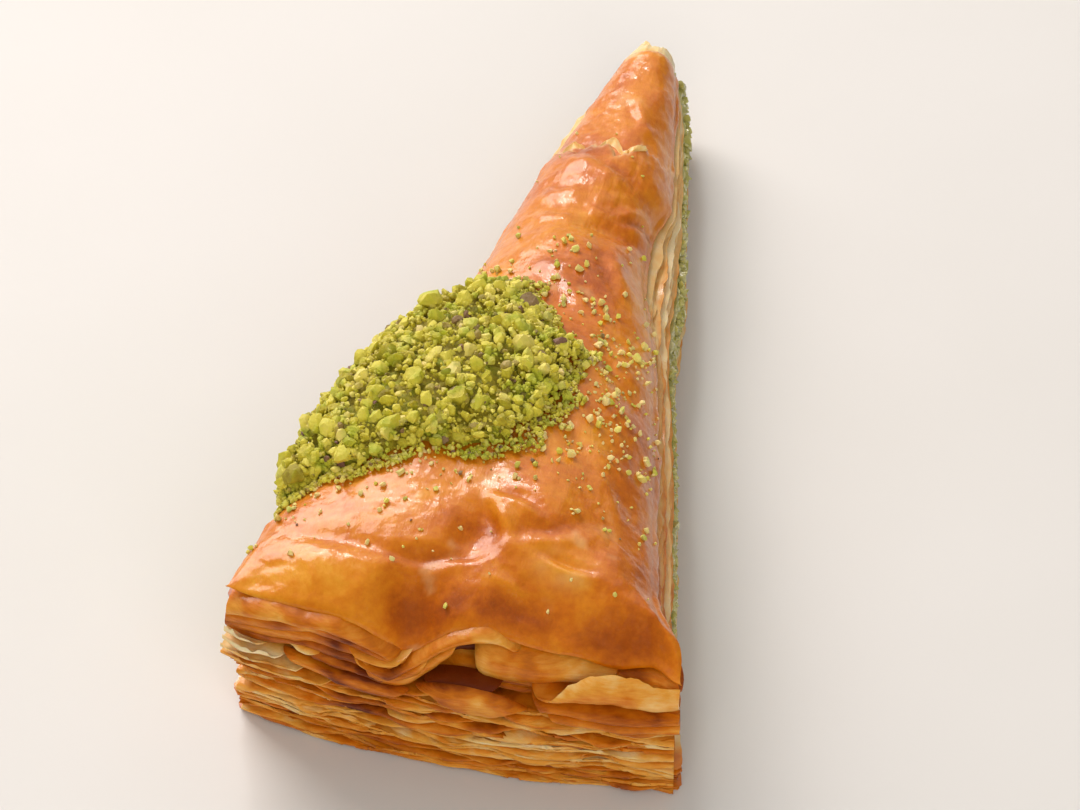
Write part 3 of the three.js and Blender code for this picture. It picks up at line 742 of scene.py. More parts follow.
# torn bits of the topmost sheet that lift off the crust: rows of share of the bit's run, place (s, p) of
# its root, how far it reaches along the piece and across it in mm, and how high its edge stands in mm
FLAKES = [
    [(0.0, 0.196, -0.13, -0.3, 0.3, 0.1), (0.3, 0.190, -0.08, -1.0, 0.3, 0.5),
     (0.55, 0.192, -0.02, -1.6, 0.2, 0.9), (0.8, 0.202, 0.03, -1.4, 0.0, 0.7),
     (1.0, 0.208, 0.06, -0.4, 0.0, 0.2)],
    [(0.0, 0.208, 0.05, -0.3, 0.0, 0.1), (0.4, 0.203, 0.11, -1.0, 0.2, 0.5),
     (0.7, 0.196, 0.16, -1.0, 0.2, 0.4), (1.0, 0.190, 0.21, -0.3, 0.0, 0.1)],
    [(0.0, 0.206, -0.34, -0.3, 0.0, 0.2), (0.5, 0.199, -0.27, -1.3, 0.0, 0.6),
     (1.0, 0.198, -0.19, -0.4, 0.0, 0.2)],
    [(0.0, 0.086, -0.54, 0.0, -0.3, 0.1), (0.35, 0.115, -0.54, -0.3, -0.9, 0.5),
     (0.7, 0.150, -0.55, 0.3, -1.0, 0.5), (1.0, 0.185, -0.55, 0.0, -0.3, 0.1)],
]


def torn_flake(grid, rows, seed):
    """One torn bit of sheet as a closed shell: it leaves the crust at its root and its edge curls up as the
    power 1.6 of the way out, with quick waves that tear the edge."""
    u = np.linspace(0, 1, 70)[:, None]
    v = np.linspace(0, 1, 12)[None, :]
    s, p, along, over, high = (through(rows, column, u) for column in (1, 2, 3, 4, 5))
    ragged = v * (1 + 0.3 * cloud(points_of(9 * u, seed), 2.0, seed, 3))
    at_s = s + along * ragged / LENGTH
    at_p = p + over * ragged * LIP_P / 14
    ripple = 0.25 * cloud(points_of(9 * u, 2 * v, seed), 1.5, seed + 5, 2)
    lift = -0.25 + (high + ripple) * v**1.6 + 0.3 * v
    half = 0.13 * (1 - 0.5 * v**2)
    return shell_of_sheet(on_crust(grid, at_s, at_p, lift + half), on_crust(grid, at_s, at_p, lift - half))


def tip_sheet(below, reach, seed):
    """A sheet's broken end at the narrow tip as a closed shell: it comes out under the crust's rim, reaches
    less far towards both sides, sinks as the square of the way out, and its edge is torn by a quick
    wave."""
    u = np.linspace(-1, 1, 60)[:, None]
    v = np.linspace(0, 1, 12)[None, :]
    edge = reach * (1 - 0.65 * u**2) * (1 + 0.55 * cloud(points_of(5 * u, seed), 1.6, seed, 3))
    x = u * (half_width(0.012, np.sign(u)) - 0.2) * mix(1, 0.94, v)
    ripple = 0.4 * cloud(points_of(5 * u, 2 * v, seed), 1.8, seed + 5, 2)
    z = crust_height(0.02, 0.9 * u) - below + ripple * v - 0.8 * v * v
    mid = place(0.0, x, z, mix(2.5, -edge, v))
    half = np.array([0, 0, 0.17]) * (1 - 0.5 * v[..., None] ** 2)
    return shell_of_sheet(mid + half, mid - half)


# the broken sheet ends at the tip: how far each lies below the crust and how far it reaches out, in mm
TIP_SHEETS = [(0.7, 1.5), (1.5, 2.7), (2.6, 2.3)]


def build_flakes(grid):
    """The torn bits of sheet on the crust and the broken sheet ends at its narrow tip, which are paler."""
    bits = [(torn_flake(grid, rows, 150 + i), 0.2) for i, rows in enumerate(FLAKES)]
    ends = [(tip_sheet(below, reach, 170 + i), 0.12) for i, (below, reach) in enumerate(TIP_SHEETS)]
    made = [(shell, tone + 0.14 * cloud(shell[0], 2.5, 160, 2)) for shell, tone in bits + ends]
    sheets_piece("torn_sheets", made, 60)


# ---- the sheets under the crust ----
SHEET_DEPTH = 7.0  # how far a sheet's rim goes in, in mm
TIP_SHARE, SIDE_SHARE = 0.02, 0.4  # shares of a rim's run over half the tip and along one cut


def band_bottom(s):
    """Height of the filling's underside."""
    return mix(5, 6.2, s) + 0.35 * np.sin(11 * s)


def band_top(s):
    """Height of the filling's top."""
    return mix(9.6, 14, smooth(s)) + 0.4 * np.sin(14 * s + 1)


def band_height(s, share):
    """Height in the filling at a share from its underside to its top, which close in on each other at its
    outer end."""
    open_by = np.sqrt(1 - 0.8 * np.clip((s - BAND_END + 0.03) / 0.03, 0, 1) ** 2)
    return mix(band_bottom(s), band_top(s), 0.5 + (share - 0.5) * open_by)


def roof(s, t):
    """Height of the underside of the crust, and of its cut edge at the sides."""
    edge = lip_height(s, side_of(t)) - droop(s, t)
    return np.where(np.abs(t) > 0.999, edge, crust_height(s, t)) - 0.6


def at_end(s):
    """0 along the piece and 1 at its outer end, by a smoothed step."""
    return smooth((s - 0.93) / 0.05)


def block_between(low, high, s_range, inset, counts, ripple, seed, end_in=lambda z, t: 1.0):
    """A block of packed sheets: shares run along the piece, from cut to cut and from the low height to the
    high one. Its sides ripple with height as pressed sheets do, and it stays back from the outer end by
    end_in."""

    def point(a, b, c):
        s = mix(s_range[0], s_range[1], a)
        t = np.sin((2 * b - 1) * math.pi / 2)
        side = side_of(t)
        z = mix(low(s, t), high(s, t), c)
        rise = np.clip(z / lip_height(s, side), 0, 1)
        wave = ripple * cloud(points_of(z * 9, s * 40, side * 50), 8, seed, 2)
        x = t * (half_width(s, side, rise**LEDGE) - inset + wave)
        return place(s, x, z, end_out(s, t, rise, 0) - end_in(z, t) * at_end(s))

    return shell_of_block(point, counts)


def sheet_edge(level_at, thick, seed, reach, wave, end_in=0.0):
    """One filo sheet's rim as a closed strip, with its browning. Its run goes from the middle of the tip
    along the left cut, across the outer end and back along the right cut to the tip. It goes in by its
    depth, droops and lifts by a slow random wave that grows towards its edge, and its edge is torn by a
    quick one. Under the crust's drooping right corner it is held down. It is browner towards its edge, high
    up and at the outer end."""
    rng = np.random.default_rng(seed)
    run = np.linspace(0, 1, 500)[:, None]
    v = np.array([0, 0.04, 0.12, 0.3, 0.6, 1.0])[None, :]
    inset = v * SHEET_DEPTH
    from_tip = np.minimum(run, 1 - run)
    at_tip, on_side = from_tip < TIP_SHARE, from_tip < TIP_SHARE + SIDE_SHARE
    s = np.where(on_side, mix(0.004, 1, np.clip((from_tip - TIP_SHARE) / SIDE_SHARE, 0, 1)), 1)
    s = np.maximum(s * (1 - inset / LENGTH), 0.002 + np.minimum(inset, 4.0) / LENGTH)
    side = side_of(run - 0.5)
    over_end = np.clip((run - 0.5) / (0.5 - TIP_SHARE - SIDE_SHARE), -1, 1)
    t = np.where(at_tip, side * from_tip / TIP_SHARE, np.where(on_side, side, over_end))
    z = level_at(s, t)
    rise = np.clip(z / np.maximum(lip_height(s, side), 1), 0, 1)
    where = points_of(s * LENGTH + 300 * (t > 0), t * 40, 11.0 * seed)
    lifts = wave * cloud(where, 14, seed, 2) * (1 - v) ** 2
    torn = 0.35 * cloud(where, 3.0, seed + 50, 3) + 0.7 * np.minimum(0, cloud(where, 11, seed + 60, 2) + 0.25)
    out = (torn + reach) * np.exp(-v * 9)
    narrow = smooth(s * LENGTH / 40)
    depth_x = np.minimum(inset, half_width(s, side) * 0.8)
    x = t * (half_width(s, side, rise**LEDGE) + np.where(on_side, out * mix(0.5, 1, narrow), 0) - depth_x)
    short = mix(end_in, np.minimum(end_in, 1.0), smooth((np.abs(t) - 0.8) / 0.2)) * at_end(s)
    r_out = end_out(s, t, rise, 0) + np.where(on_side, 0, out) - short - np.where(at_tip, 0.5 * out, 0)
    under = roof(s, t) - 0.2 - 0.5 * thick - 1.8 * smooth((t - 0.4) / 0.2) * smooth((s - 0.91) / 0.03)
    mid = place(s, x, np.minimum(z + lifts * mix(0.4, 1, narrow), under), r_out)
    half = np.array([0, 0, 0.5 * thick]) * mix(0.55, 1, np.minimum(1, v / 0.1))[..., None]
    browner = 0.25 * rng.uniform(-1, 1) + 0.25 * cloud(where, 16, seed + 70, 2)
    high = np.clip((z - 12) / 18, 0, 1)
    bake = 0.02 + 0.1 * smooth((z - 9) / 4) + 0.2 * high + 0.4 * smooth((s - 0.95) / 0.04)
    bake = bake + np.exp(-v * 7) * (0.12 + 0.24 * high + 0.7 * browner)
    return shell_of_sheet(mid + half, mid - half), both_faces(bake)


def block_top(s, t):
    """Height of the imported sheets' top: just under the crust at the cuts, and lower under the dome."""
    return roof(s, t) - 0.5 - 1.7 * (1 - t**8) * smooth(s / 0.06)


def block_back(z, t):
    """How far the upper packed sheets stay back from the outer end: a smoothed step up at 15 mm, except at
    the corners, and a bell both ways for the dark opening under the lip."""
    step = 4.5 * smooth((z - 15) / 4) * (1 - smooth((np.abs(t) - 0.82) / 0.15))
    return 2.0 + step + 4 * bell((t - 0.04) / 0.14) * bell((z - 24) / 4)


def build_sheets():
    """The sheets over and under the filling: a strip for each, at heights that share the space out
    unevenly, over blocks that fill the inside, behind the filling's outer end too. The blocks' faces at
    the outer end are darkened as painted shade in the recess behind the folds."""
    rng = np.random.default_rng(14)
    upper = np.cumsum(rng.uniform(0.5, 1.5, 13))
    upper = (upper - upper[0] * 0.5) / (upper[-1] + 0.2)
    groups = (("upper_sheets", upper[6:], 6.0), ("middle_sheets", upper[:6], 3.0))
    for group, (name, levels, end_in) in enumerate(groups):
        made = [
            sheet_edge(
                lambda s, t, k=k: mix(band_top(s) + 0.3, roof(s, t) - 0.3, k), rng.uniform(0.35, 0.75),
                100 * group + 10 * i, rng.uniform(-0.9, 0.3), rng.uniform(0.3, 0.9), end_in,
            )
            for i, k in enumerate(levels)
        ]
        sheets_piece(name, made)
    made = [
        sheet_edge(
            lambda s, t, k=k: mix(0.35, band_bottom(s) - 0.2, k), rng.uniform(0.4, 0.6),
            400 + 10 * i, rng.uniform(-0.4, 0.4), 0.12,
        )
        for i, k in enumerate(np.linspace(0, 1, 7))
    ]
    sheets_piece("base_sheets", made, browner=0.14)
    blocks = [
        block_between(
            lambda s, t: band_top(s), block_top, (0.016, 0.999), 1.6, (190, 40, 26), 0.5, 31, block_back
        ),
        block_between(
            lambda s, t: 0 * s, lambda s, t: band_bottom(s), (0.014, 1.0), 0.9, (190, 24, 12), 0.3, 32
        ),
        block_between(
            lambda s, t: band_bottom(s) - 0.5, lambda s, t: band_top(s) + 0.5, (BAND_END - 0.035, 0.999),
            1.2, (20, 50, 16), 0.5, 33,
        ),
    ]
    made = []
    for block, outer in zip(blocks, (0.0, 0.0, 0.3)):
        points = block[0]
        streak = cloud(points * (0.15, 0.15, 1.4), 1.2, 35, 2)
        # painted shade: the blocks go browner at the outer end, where they sit back in the recess behind the
        # folds
        recess_shade = smooth((TRAY_CENTRE_Y - 0.93 * (LENGTH + TIP_RADIUS) - points[:, 1]) / 2)
        bake = 0.06 + outer + 0.024 * np.clip(points[:, 2] - 12, 0, 20) + 0.2 * streak + (0.75 - outer) * recess_shade
        made.append((block, bake))
    sheets_piece("packed_sheets", made, 35)


# ---- the folds and loose sheet ends of the outer end ----
# Each is a table of rows (x, how far its nose stands out, height of its inner root, height of its edge, how
# far its edge stands out), with its thickness, how far it goes in, its browning and the length over which
# its two ends taper.
END_SHEETS = [
    # the thick fold on the left, as sheets one behind another
    ([(-34.0, 0.1, 28.0, 24.6, -0.3), (-31.0, 0.3, 28.6, 25.7, 0.0), (-26.5, 0.4, 29.3, 26.7, 0.1),
      (-22.0, 0.3, 29.3, 27.3, 0.0), (-18.0, 0.2, 29.8, 27.7, -0.2), (-14.4, 0.1, 29.1, 26.7, -0.4),
      (-10.6, -0.1, 27.3, 25.3, -0.6), (-7.0, -0.8, 24.7, 23.1, -1.3)], 0.6, 7.0, 0.62, (0, 3)),
    ([(-34.2, -0.1, 26.2, 23.2, -0.6), (-29.0, 0.2, 27.2, 24.4, -0.3), (-24.0, 0.0, 28.2, 25.4, -0.4),
      (-19.0, 0.1, 28.8, 26.4, -0.5), (-14.0, 0.0, 27.8, 25.4, -0.6), (-9.0, -0.3, 25.6, 23.4, -1.0),
      (-5.0, -1.4, 24.0, 22.4, -2.2)], 0.5, 6.0, 0.72, (0, 4)),
    ([(-34.3, -0.4, 25.0, 22.0, -1.0), (-29.0, -0.1, 25.8, 22.8, -0.6), (-24.0, -0.3, 26.4, 23.2, -0.9),
      (-19.0, -0.2, 27.0, 24.2, -0.9), (-14.0, -0.3, 26.0, 23.2, -1.0), (-9.0, -0.5, 24.2, 22.0, -1.4),
      (-4.0, -1.8, 23.0, 21.8, -2.6)], 0.5, 6.0, 0.66, (0, 4)),
    ([(-34.4, -0.8, 23.2, 20.4, -1.6), (-28.0, -0.4, 23.8, 21.2, -1.2), (-22.0, -0.7, 24.2, 22.0, -1.5),
      (-16.0, -0.6, 24.2, 21.4, -1.5), (-11.5, -0.9, 22.6, 20.4, -1.8)], 0.5, 5.0, 0.72, (0, 3)),
    # the curled lip: down into the valley, up to a crest and down again, with the ends of two more sheets
    # inside it
    ([(-14.6, 0.0, 23.6, 23.0, 0.0), (-11.2, 0.1, 22.6, 21.6, -0.2), (-8.6, 0.1, 22.6, 21.2, -0.3),
      (-6.4, -0.3, 24.2, 22.6, -0.8), (-4.2, -0.9, 25.9, 24.0, -1.5), (-2.0, -1.7, 27.6, 25.6, -2.4),
      (0.2, -2.4, 29.0, 27.0, -3.2), (2.4, -2.8, 29.9, 28.0, -3.7), (4.4, -3.0, 30.3, 28.5, -4.0),
      (6.8, -3.2, 30.0, 28.4, -4.2), (9.0, -3.6, 28.8, 27.4, -4.5), (11.4, -4.6, 26.8, 25.8, -5.4)],
      0.6, 6.0, 0.64, (3, 3)),
    ([(-16.0, 0.0, 25.6, 25.0, 0.0), (-12.5, 0.2, 24.6, 23.8, 0.0), (-9.0, 0.0, 24.2, 23.4, -0.3),
      (-5.5, -0.8, 25.4, 24.6, -1.2)], 0.4, 5.0, 0.34, (3, 3)),
    ([(-15.0, 0.1, 24.0, 22.8, 0.0), (-11.5, 0.2, 22.8, 21.4, -0.1), (-8.0, 0.0, 22.4, 20.6, -0.4),
      (-5.0, -0.9, 24.0, 21.6, -1.4), (-2.0, -2.0, 26.6, 24.0, -2.8)], 0.4, 5.0, 0.5, (3, 3)),
    ([(-13.6, -0.4, 23.0, 20.2, -1.2), (-9.5, -0.4, 22.2, 18.9, -1.4), (-6.4, -0.8, 22.8, 18.9, -2.0),
      (-3.6, -1.8, 24.6, 21.0, -3.2), (-1.0, -2.8, 26.6, 23.6, -4.0), (1.6, -3.8, 28.2, 26.0, -4.8)],
      0.8, 6.0, 0.5, (3, 2)),
    # the round roll on the right, and the skin that hangs from the crust down to the corner behind it
    ([(2.8, -4.2, 26.6, 20.8, -7.0), (4.6, -3.3, 27.6, 19.2, -7.0), (8.0, -3.0, 28.0, 18.8, -7.0),
      (12.0, -3.0, 27.6, 19.6, -7.0), (16.0, -3.3, 26.6, 20.4, -7.0), (20.5, -3.7, 25.6, 21.0, -6.8),
      (26.0, -4.2, 25.0, 21.6, -6.4)], 1.2, 8.0, 0.44, (2, 4)),
    ([(13.0, -4.4, 26.4, 20.8, -5.4), (18.0, -4.2, 25.0, 20.6, -4.6), (24.0, -4.0, 24.4, 20.2, -4.2),
      (28.0, -3.2, 25.0, 20.2, -3.4), (31.0, -1.8, 25.8, 20.2, -2.0), (34.0, -0.7, 26.0, 20.2, -0.8)],
      0.8, 4.0, 0.7, (3, 0)),
    # the loose flap that leans against them, and the brown sheets that it stands on
    ([(12.0, 0.1, 21.4, 21.9, -0.1), (15.6, 0.5, 21.6, 23.3, -0.5), (18.7, 0.7, 21.6, 25.0, -1.0),
      (22.0, 0.8, 21.4, 26.7, -1.5), (25.0, 0.9, 21.2, 27.1, -1.7), (28.0, 0.9, 21.0, 26.5, -1.4),
      (31.0, 0.7, 20.8, 25.7, -0.6), (34.2, 0.4, 21.2, 26.0, -0.2)], 0.45, 6.0, 0.5, (6, 0), 0.05),
    ([(12.0, -0.2, 20.9, 19.6, -0.6), (20.0, 0.1, 20.7, 18.8, -0.4), (27.0, 0.2, 20.3, 18.2, -0.2),
      (34.2, 0.0, 20.6, 18.8, -0.2)], 0.6, 6.0, 0.6, (3, 0)),
    ([(14.0, 0.1, 19.2, 17.9, -0.1), (20.0, 0.3, 19.0, 17.4, 0.1), (27.0, 0.4, 18.6, 17.0, 0.2),
      (34.3, 0.2, 18.8, 17.4, 0.1)], 0.5, 5.0, 0.5, (3, 0)),
    # the folded end in the middle, in front of the dark opening under the lip, and behind it a nearly black
    # sheet that is painted shade in that opening
    ([(-5.0, 0.4, 19.8, 18.8, 0.2), (-1.8, 0.9, 21.0, 18.2, 0.5), (1.4, 1.1, 21.6, 17.6, 0.6),
      (5.0, 1.0, 21.4, 17.2, 0.6), (8.5, 0.8, 20.4, 16.8, 0.4), (12.0, 0.3, 18.6, 16.8, 0.0)],
      0.36, 1.6, 0.54, (7, 6), 0.2),
    ([(-4.6, -1.4, 20.6, 19.6, -1.6), (1.0, -1.0, 22.0, 20.6, -1.2), (8.0, -1.2, 21.4, 20.0, -1.4)],
      0.35, 3.0, 0.98, (3, 3), 0.3),
    # thin brown and pale ends on the left
    ([(-25.5, 0.4, 21.0, 19.8, 0.3), (-18.0, 0.8, 20.2, 18.8, 0.5), (-12.0, 0.8, 19.4, 17.8, 0.5),
      (-6.0, 0.6, 18.8, 17.5, 0.2)], 0.5, 1.6, 0.62, (3, 3)),
    ([(-22.5, -0.2, 22.8, 21.6, -0.4), (-15.0, 0.0, 21.6, 20.2, -0.3), (-8.0, -0.2, 20.6, 19.2, -0.6)],
      0.4, 3.0, 0.76, (3, 3)),
    ([(-24.8, 0.0, 23.0, 22.4, 0.0), (-22.0, 0.4, 22.8, 21.8, 0.2), (-19.4, 0.1, 22.0, 21.6, 0.0)],
      0.22, 1.5, 0.24, (2, 2), 0.5),
    ([(-34.4, 0.3, 21.6, 22.6, 0.2), (-31.0, 0.8, 21.2, 22.6, 0.6), (-27.6, 0.5, 21.0, 21.6, 0.4)],
      0.3, 4.0, 0.12, (0, 3), 0.3),
    ([(-34.6, 0.7, 20.0, 21.6, 0.9), (-31.5, 1.3, 19.8, 20.9, 1.5), (-28.0, 1.0, 20.0, 21.0, 1.1),
      (-24.6, 0.5, 19.8, 20.2, 0.5)], 0.3, 5.0, 0.0, (0, 3), 0.25),
    ([(-34.8, 0.9, 18.8, 20.2, 1.5), (-31.0, 1.5, 18.6, 19.6, 1.9), (-26.0, 1.2, 18.8, 19.2, 1.4),
      (-21.0, 0.7, 18.8, 18.8, 0.7)], 0.3, 5.0, 0.14, (0, 4), 0.25),
    ([(-34.9, 0.8, 17.6, 18.6, 1.3), (-30.0, 1.4, 17.4, 18.2, 1.7), (-24.0, 1.2, 17.6, 17.8, 1.3),
      (-17.0, 0.7, 17.4, 17.2, 0.6)], 0.35, 5.0, 0.3, (0, 4), 0.2),
]


FOLD_STEP = 0.32  # the distance between a fold's sections, in mm


def sheet_end(rows, thick, depth, brown, taper, seed, torn=0.12):
    """One fold or loose end at the outer end, as a closed tube carried from left to right, with its
    browning. Its section is a sheet that comes out level from its root, turns at its nose and goes up or
    down to its edge, along a cubic curve; its thickness is halved towards the edge. Quick waves tear the
    edge back and slow ones ripple the sheet. It is browner at its root, which is painted shade in the
    fold's crease, a little paler at its edge, which is a painted highlight where the thin edge catches the
    light, and browner low down, left of the middle and in the ripples."""
    x_from, x_to = rows[0][0], rows[-1][0]
    x = np.linspace(x_from, x_to, int((x_to - x_from) / FOLD_STEP))[:, None]
    nose, root, edge, edge_out = (through(rows, column, x) for column in (1, 2, 3, 4))
    ends = np.ones_like(x)
    for reach, gone in zip(taper, (x - x_from, x_to - x)):
        if reach:
            ends = ends * np.clip(gone / reach + 0.02, 0, 1) ** 0.7
    tear = torn * np.abs(cloud(points_of(x, 5.0 * seed), 2.6, seed + 900, 3))
    v = np.linspace(0, 1, 13)[None, :] ** 0.8 * ends * (1 - tear)
    back = nose - depth
    turn = (nose - (back + edge_out) / 8) / 0.75
    weights = ((1 - v) ** 3, 3 * (1 - v) ** 2 * v, 3 * (1 - v) * v * v, v**3)
    out = sum(w * c for w, c in zip(weights, (back, turn, turn, edge_out)))
    z = sum(w * c for w, c in zip(weights, (root, root, mix(root, edge, 0.6), edge)))
    ripple = cloud(points_of(0.6 * x, 5 * v, 7.0 * seed), 2.6, seed + 950, 3)
    run_out, run_z = np.gradient(out, axis=1), np.gradient(z, axis=1)
    run = np.maximum(np.hypot(run_out, run_z), 1e-6)
    half = 0.5 * thick * (1 - 0.5 * v**2) * np.minimum(1, ends + 0.3)
    lifts = (0.3 * ripple + half, 0.3 * ripple - half)
    upper, lower = (points_of(out - run_z / run * lift, z + run_out / run * lift) for lift in lifts)
    loops = np.concatenate([upper, lower[:, ::-1]], 1)
    at_x = x * (1 + 0.006 * np.minimum(loops[..., 0], 0))
    # browner at the root: painted shade in the crease; paler at the edge: painted highlight where the thin
    # edge catches the light
    tint = brown + 0.2 * (1 - v) ** 3 - 0.06 * v**4 + 0.22 * ripple
    tint = tint + 0.12 * np.clip((23 - z) / 6, -1, 1) + 0.16 * bell((x + 13) / 6)
    bake = np.concatenate([tint, tint[:, ::-1]], 1)
    return shell_of_loops(place(1.0, at_x, loops[..., 1], loops[..., 0])), bake.ravel()


def build_folds():
    """The ruffled end: the listed folds and loose ends, and below them uneven rows of thin ends down to the
    base."""
    made = [sheet_end(*row[:5], 800 + i, *row[5:]) for i, row in enumerate(END_SHEETS)]
    rng = np.random.default_rng(77)
    ends, stations = 20, 13
    for i, level in enumerate(np.linspace(17.2, 0.8, ends) + rng.uniform(-0.15, 0.15, ends)):
        xs = np.linspace(-34.2, 33.5, stations)
        out = -END_TAPER * (1 - level / 30) + rng.uniform(-0.5, 0.7, stations)
        z = level + min(0.7, 0.12 * level) * rng.uniform(-1, 1, stations)
        low = np.maximum(z - rng.uniform(-0.6, 1.2, stations), 0.7)
        rows = points_of(xs, out, np.maximum(z, 0.8), low, out + rng.uniform(-0.3, 0.5, stations))
        brown = rng.uniform(0.1, 0.62)
        made.append(sheet_end(rows, rng.uniform(0.3, 0.6), 5.0, brown, (0, 0), 840 + i, 0.25))
    sheets_piece("end_folds", made, 60)


# ---- the filling ----
def build_filling():
    """The filling's block: it runs from the tip to near the outer end, where it closes in, and its cut
    sides and tip are lumpy with chopped nut, by the size of quick random fields."""

    def point(a, b, c):
        s = mix(0.004, BAND_END + 0.006 * np.sin(9 * c + 1), a)
        t = 2 * b - 1
        side = side_of(t)
        z = band_height(s, c)
        at = points_of(s * LENGTH, z, side * 30)
        lumps = (0.8 * np.abs(cloud(at, 1.9, 41, 2)) + 0.4 * cloud(at, 6, 42)) * (np.abs(t) > 0.99)
        tip = 0.7 * np.abs(cloud(points_of(t * 5, z), 1.9, 43, 2)) * (a < 0.001)
        return place(s, t * (half_width(np.maximum(s, 0.03), side, 0) - 0.8 + lumps), z, -tip)

    piece("filling_paste", [shell_of_block(point, (400, 10, 34))], PASTE, ["filling"], {}, 60)


# ---- ground pistachio ----
CORE_SHARE = 0.92  # how far the heap's packed inside reaches towards its rim
PEEL_SHARE = 0.045  # how many of the crumbs have a scrap of skin
GOLDEN_ANGLE = math.pi * (3 - math.sqrt(5))

# the heap's crumbs: name, count, smallest and largest radius in mm, reach as a share of the heap's plan,
# fineness of the ball they are cut from, and the angle in degrees past which an edge is sharp
HEAP_CRUMBS = [
    ("pistachio_coarse", 200, 1.0, 1.7, 0.97, 2, 32),
    ("pistachio_middling", 1700, 0.5, 1.0, 1.0, 2, 32),
    ("pistachio_fine", 7500, 0.24, 0.56, 1.1, 1, 50),
]


def heap_plan(share, angle):
    """Place in the heap's outline as s and p: a squarish oval with the listed waves on its rim, turned to
    run down over the left flank, where it is pressed together above the lowest place that it may reach."""
    rim = 1 + sum(high * np.sin(waves * angle + start) for high, waves, start in HEAP_WAVES)
    squarish = (np.abs(np.cos(angle)) ** 2.5 + np.abs(np.sin(angle)) ** 2.5) ** (-1 / 2.5)
    u = share * rim * squarish * HEAP_LONG * np.cos(angle)
    v = share * rim * squarish * HEAP_SHORT * np.sin(angle)
    across = u * math.cos(HEAP_TURN) - v * math.sin(HEAP_TURN)
    along = u * math.sin(HEAP_TURN) + v * math.cos(HEAP_TURN)
    p = HEAP_P + across / SKIN_PER_P
    return HEAP_S + along / LENGTH, np.maximum(HEAP_LOWEST_P + (p - HEAP_LOWEST_P) * 0.1, p)


def heap_thickness(share, angle):
    """Thickness of the heap over the skin: a mound that is thinner down the flank."""
    _, p = heap_plan(share, angle)
    return HEAP_THICKNESS * np.sqrt(np.maximum(0, 1 - share**2.6)) * mix(0.5, 1, smooth((p + 0.9) / 0.6))


def build_heap_core():
    """The heap's packed inside: rings of points from its middle to its rim, a little lower than the crumbs'
    tops, with mealy relief, over a plain underside in the crust. Its dark tone is painted shade between
    the crumbs."""
    share = np.linspace(0.004, CORE_SHARE, 70)[:, None]
    angle = np.linspace(0, 2 * math.pi, 221)[None, :-1]
    share, angle = np.broadcast_arrays(share, angle)
    s, p = heap_plan(share, angle)
    lift = heap_thickness(share / CORE_SHARE, angle) - 1.9 * smooth((CORE_SHARE - share) / 0.1)
    base = on_skin(s, p, lift)
    grain = 0.7 * cloud(base, 1.4, 51, 2) + 0.4 * cloud(base, 4, 52)
    last_ring = share > CORE_SHARE - 0.001
    top = on_skin(s, p, lift + grain * smooth((CORE_SHARE - share) / 0.05) - 1.0 * last_ring)
    under = on_skin(s, p, np.full(share.shape, -1.6))
    loops = np.concatenate([top, under[::-1]])
    # the low tone paints the inside dark: painted shade in the gaps between the crumbs
    fields = {"tone": np.full(2 * share.size, 0.12), "peel": np.zeros(2 * share.size)}
    piece("pistachio_meal", [shell_of_loops(loops)], NUT, ["pistachio"], fields, 80)


def ball(level):
    """Points and triangles of a small round start shape for crumbs."""
    shape = bmesh.new()
    bmesh.ops.create_icosphere(shape, subdivisions=level, radius=1)
    points = np.array([v.co for v in shape.verts])
    faces = np.array([[v.index for v in f.verts] for f in shape.faces])
    shape.free()
    return points, faces


def crumbs(name, places, level, seed, sharp_degrees, tone=(0.25, 0.75), material=NUT):
    """Broken crumbs as one joined mesh: each is a ball cut back by ten random planes to the nearest of
    them, stretched by random sides and turned at random, with its own tone, and a few have a scrap of
    skin."""
    centres, radii = places
    rng = np.random.default_rng(seed)
    count = len(centres)
    points, faces = ball(level)
    cut = rng.normal(size=(count, 10, 3))
    cut /= np.linalg.norm(cut, axis=-1, keepdims=True)
    far = rng.uniform(0.5, 1.0, (count, 10))
    facing = np.einsum("vk,nck->nvc", points, cut)
    limit = np.where(facing > 0.05, far[:, None, :] / np.maximum(facing, 0.05), 9).min(-1)
    made = points[None] * (np.minimum(1.15, limit) * rng.uniform(0.84, 1.14, (count, len(points))))[..., None]
    made = made * rng.uniform(0.75, 1.3, (count, 1, 3))
    q = rng.normal(size=(count, 4))
    w, x, y, z = (q / np.linalg.norm(q, axis=1, keepdims=True)).T
    turn = np.stack([
        1 - 2 * (y * y + z * z), 2 * (x * y - z * w), 2 * (x * z + y * w),
        2 * (x * y + z * w), 1 - 2 * (x * x + z * z), 2 * (y * z - x * w),
        2 * (x * z - y * w), 2 * (y * z + x * w), 1 - 2 * (x * x + y * y)], -1).reshape(count, 3, 3)
    made = np.einsum("nij,nvj->nvi", turn, made) * radii[:, None, None] + centres[:, None, :]
    all_faces = (faces[None] + (np.arange(count) * len(points))[:, None, None]).reshape(-1, 3)
    tones = rng.uniform(*tone, count) + 0.12 * rng.normal(size=count)
    peels = (rng.random(count) < PEEL_SHARE) * rng.uniform(0.25, 1, count)
    fields = {"tone": np.repeat(tones, len(points)), "peel": np.repeat(peels, len(points))}
    piece(name, [(made.reshape(-1, 3), all_faces)], material, (), fields, sharp_degrees)


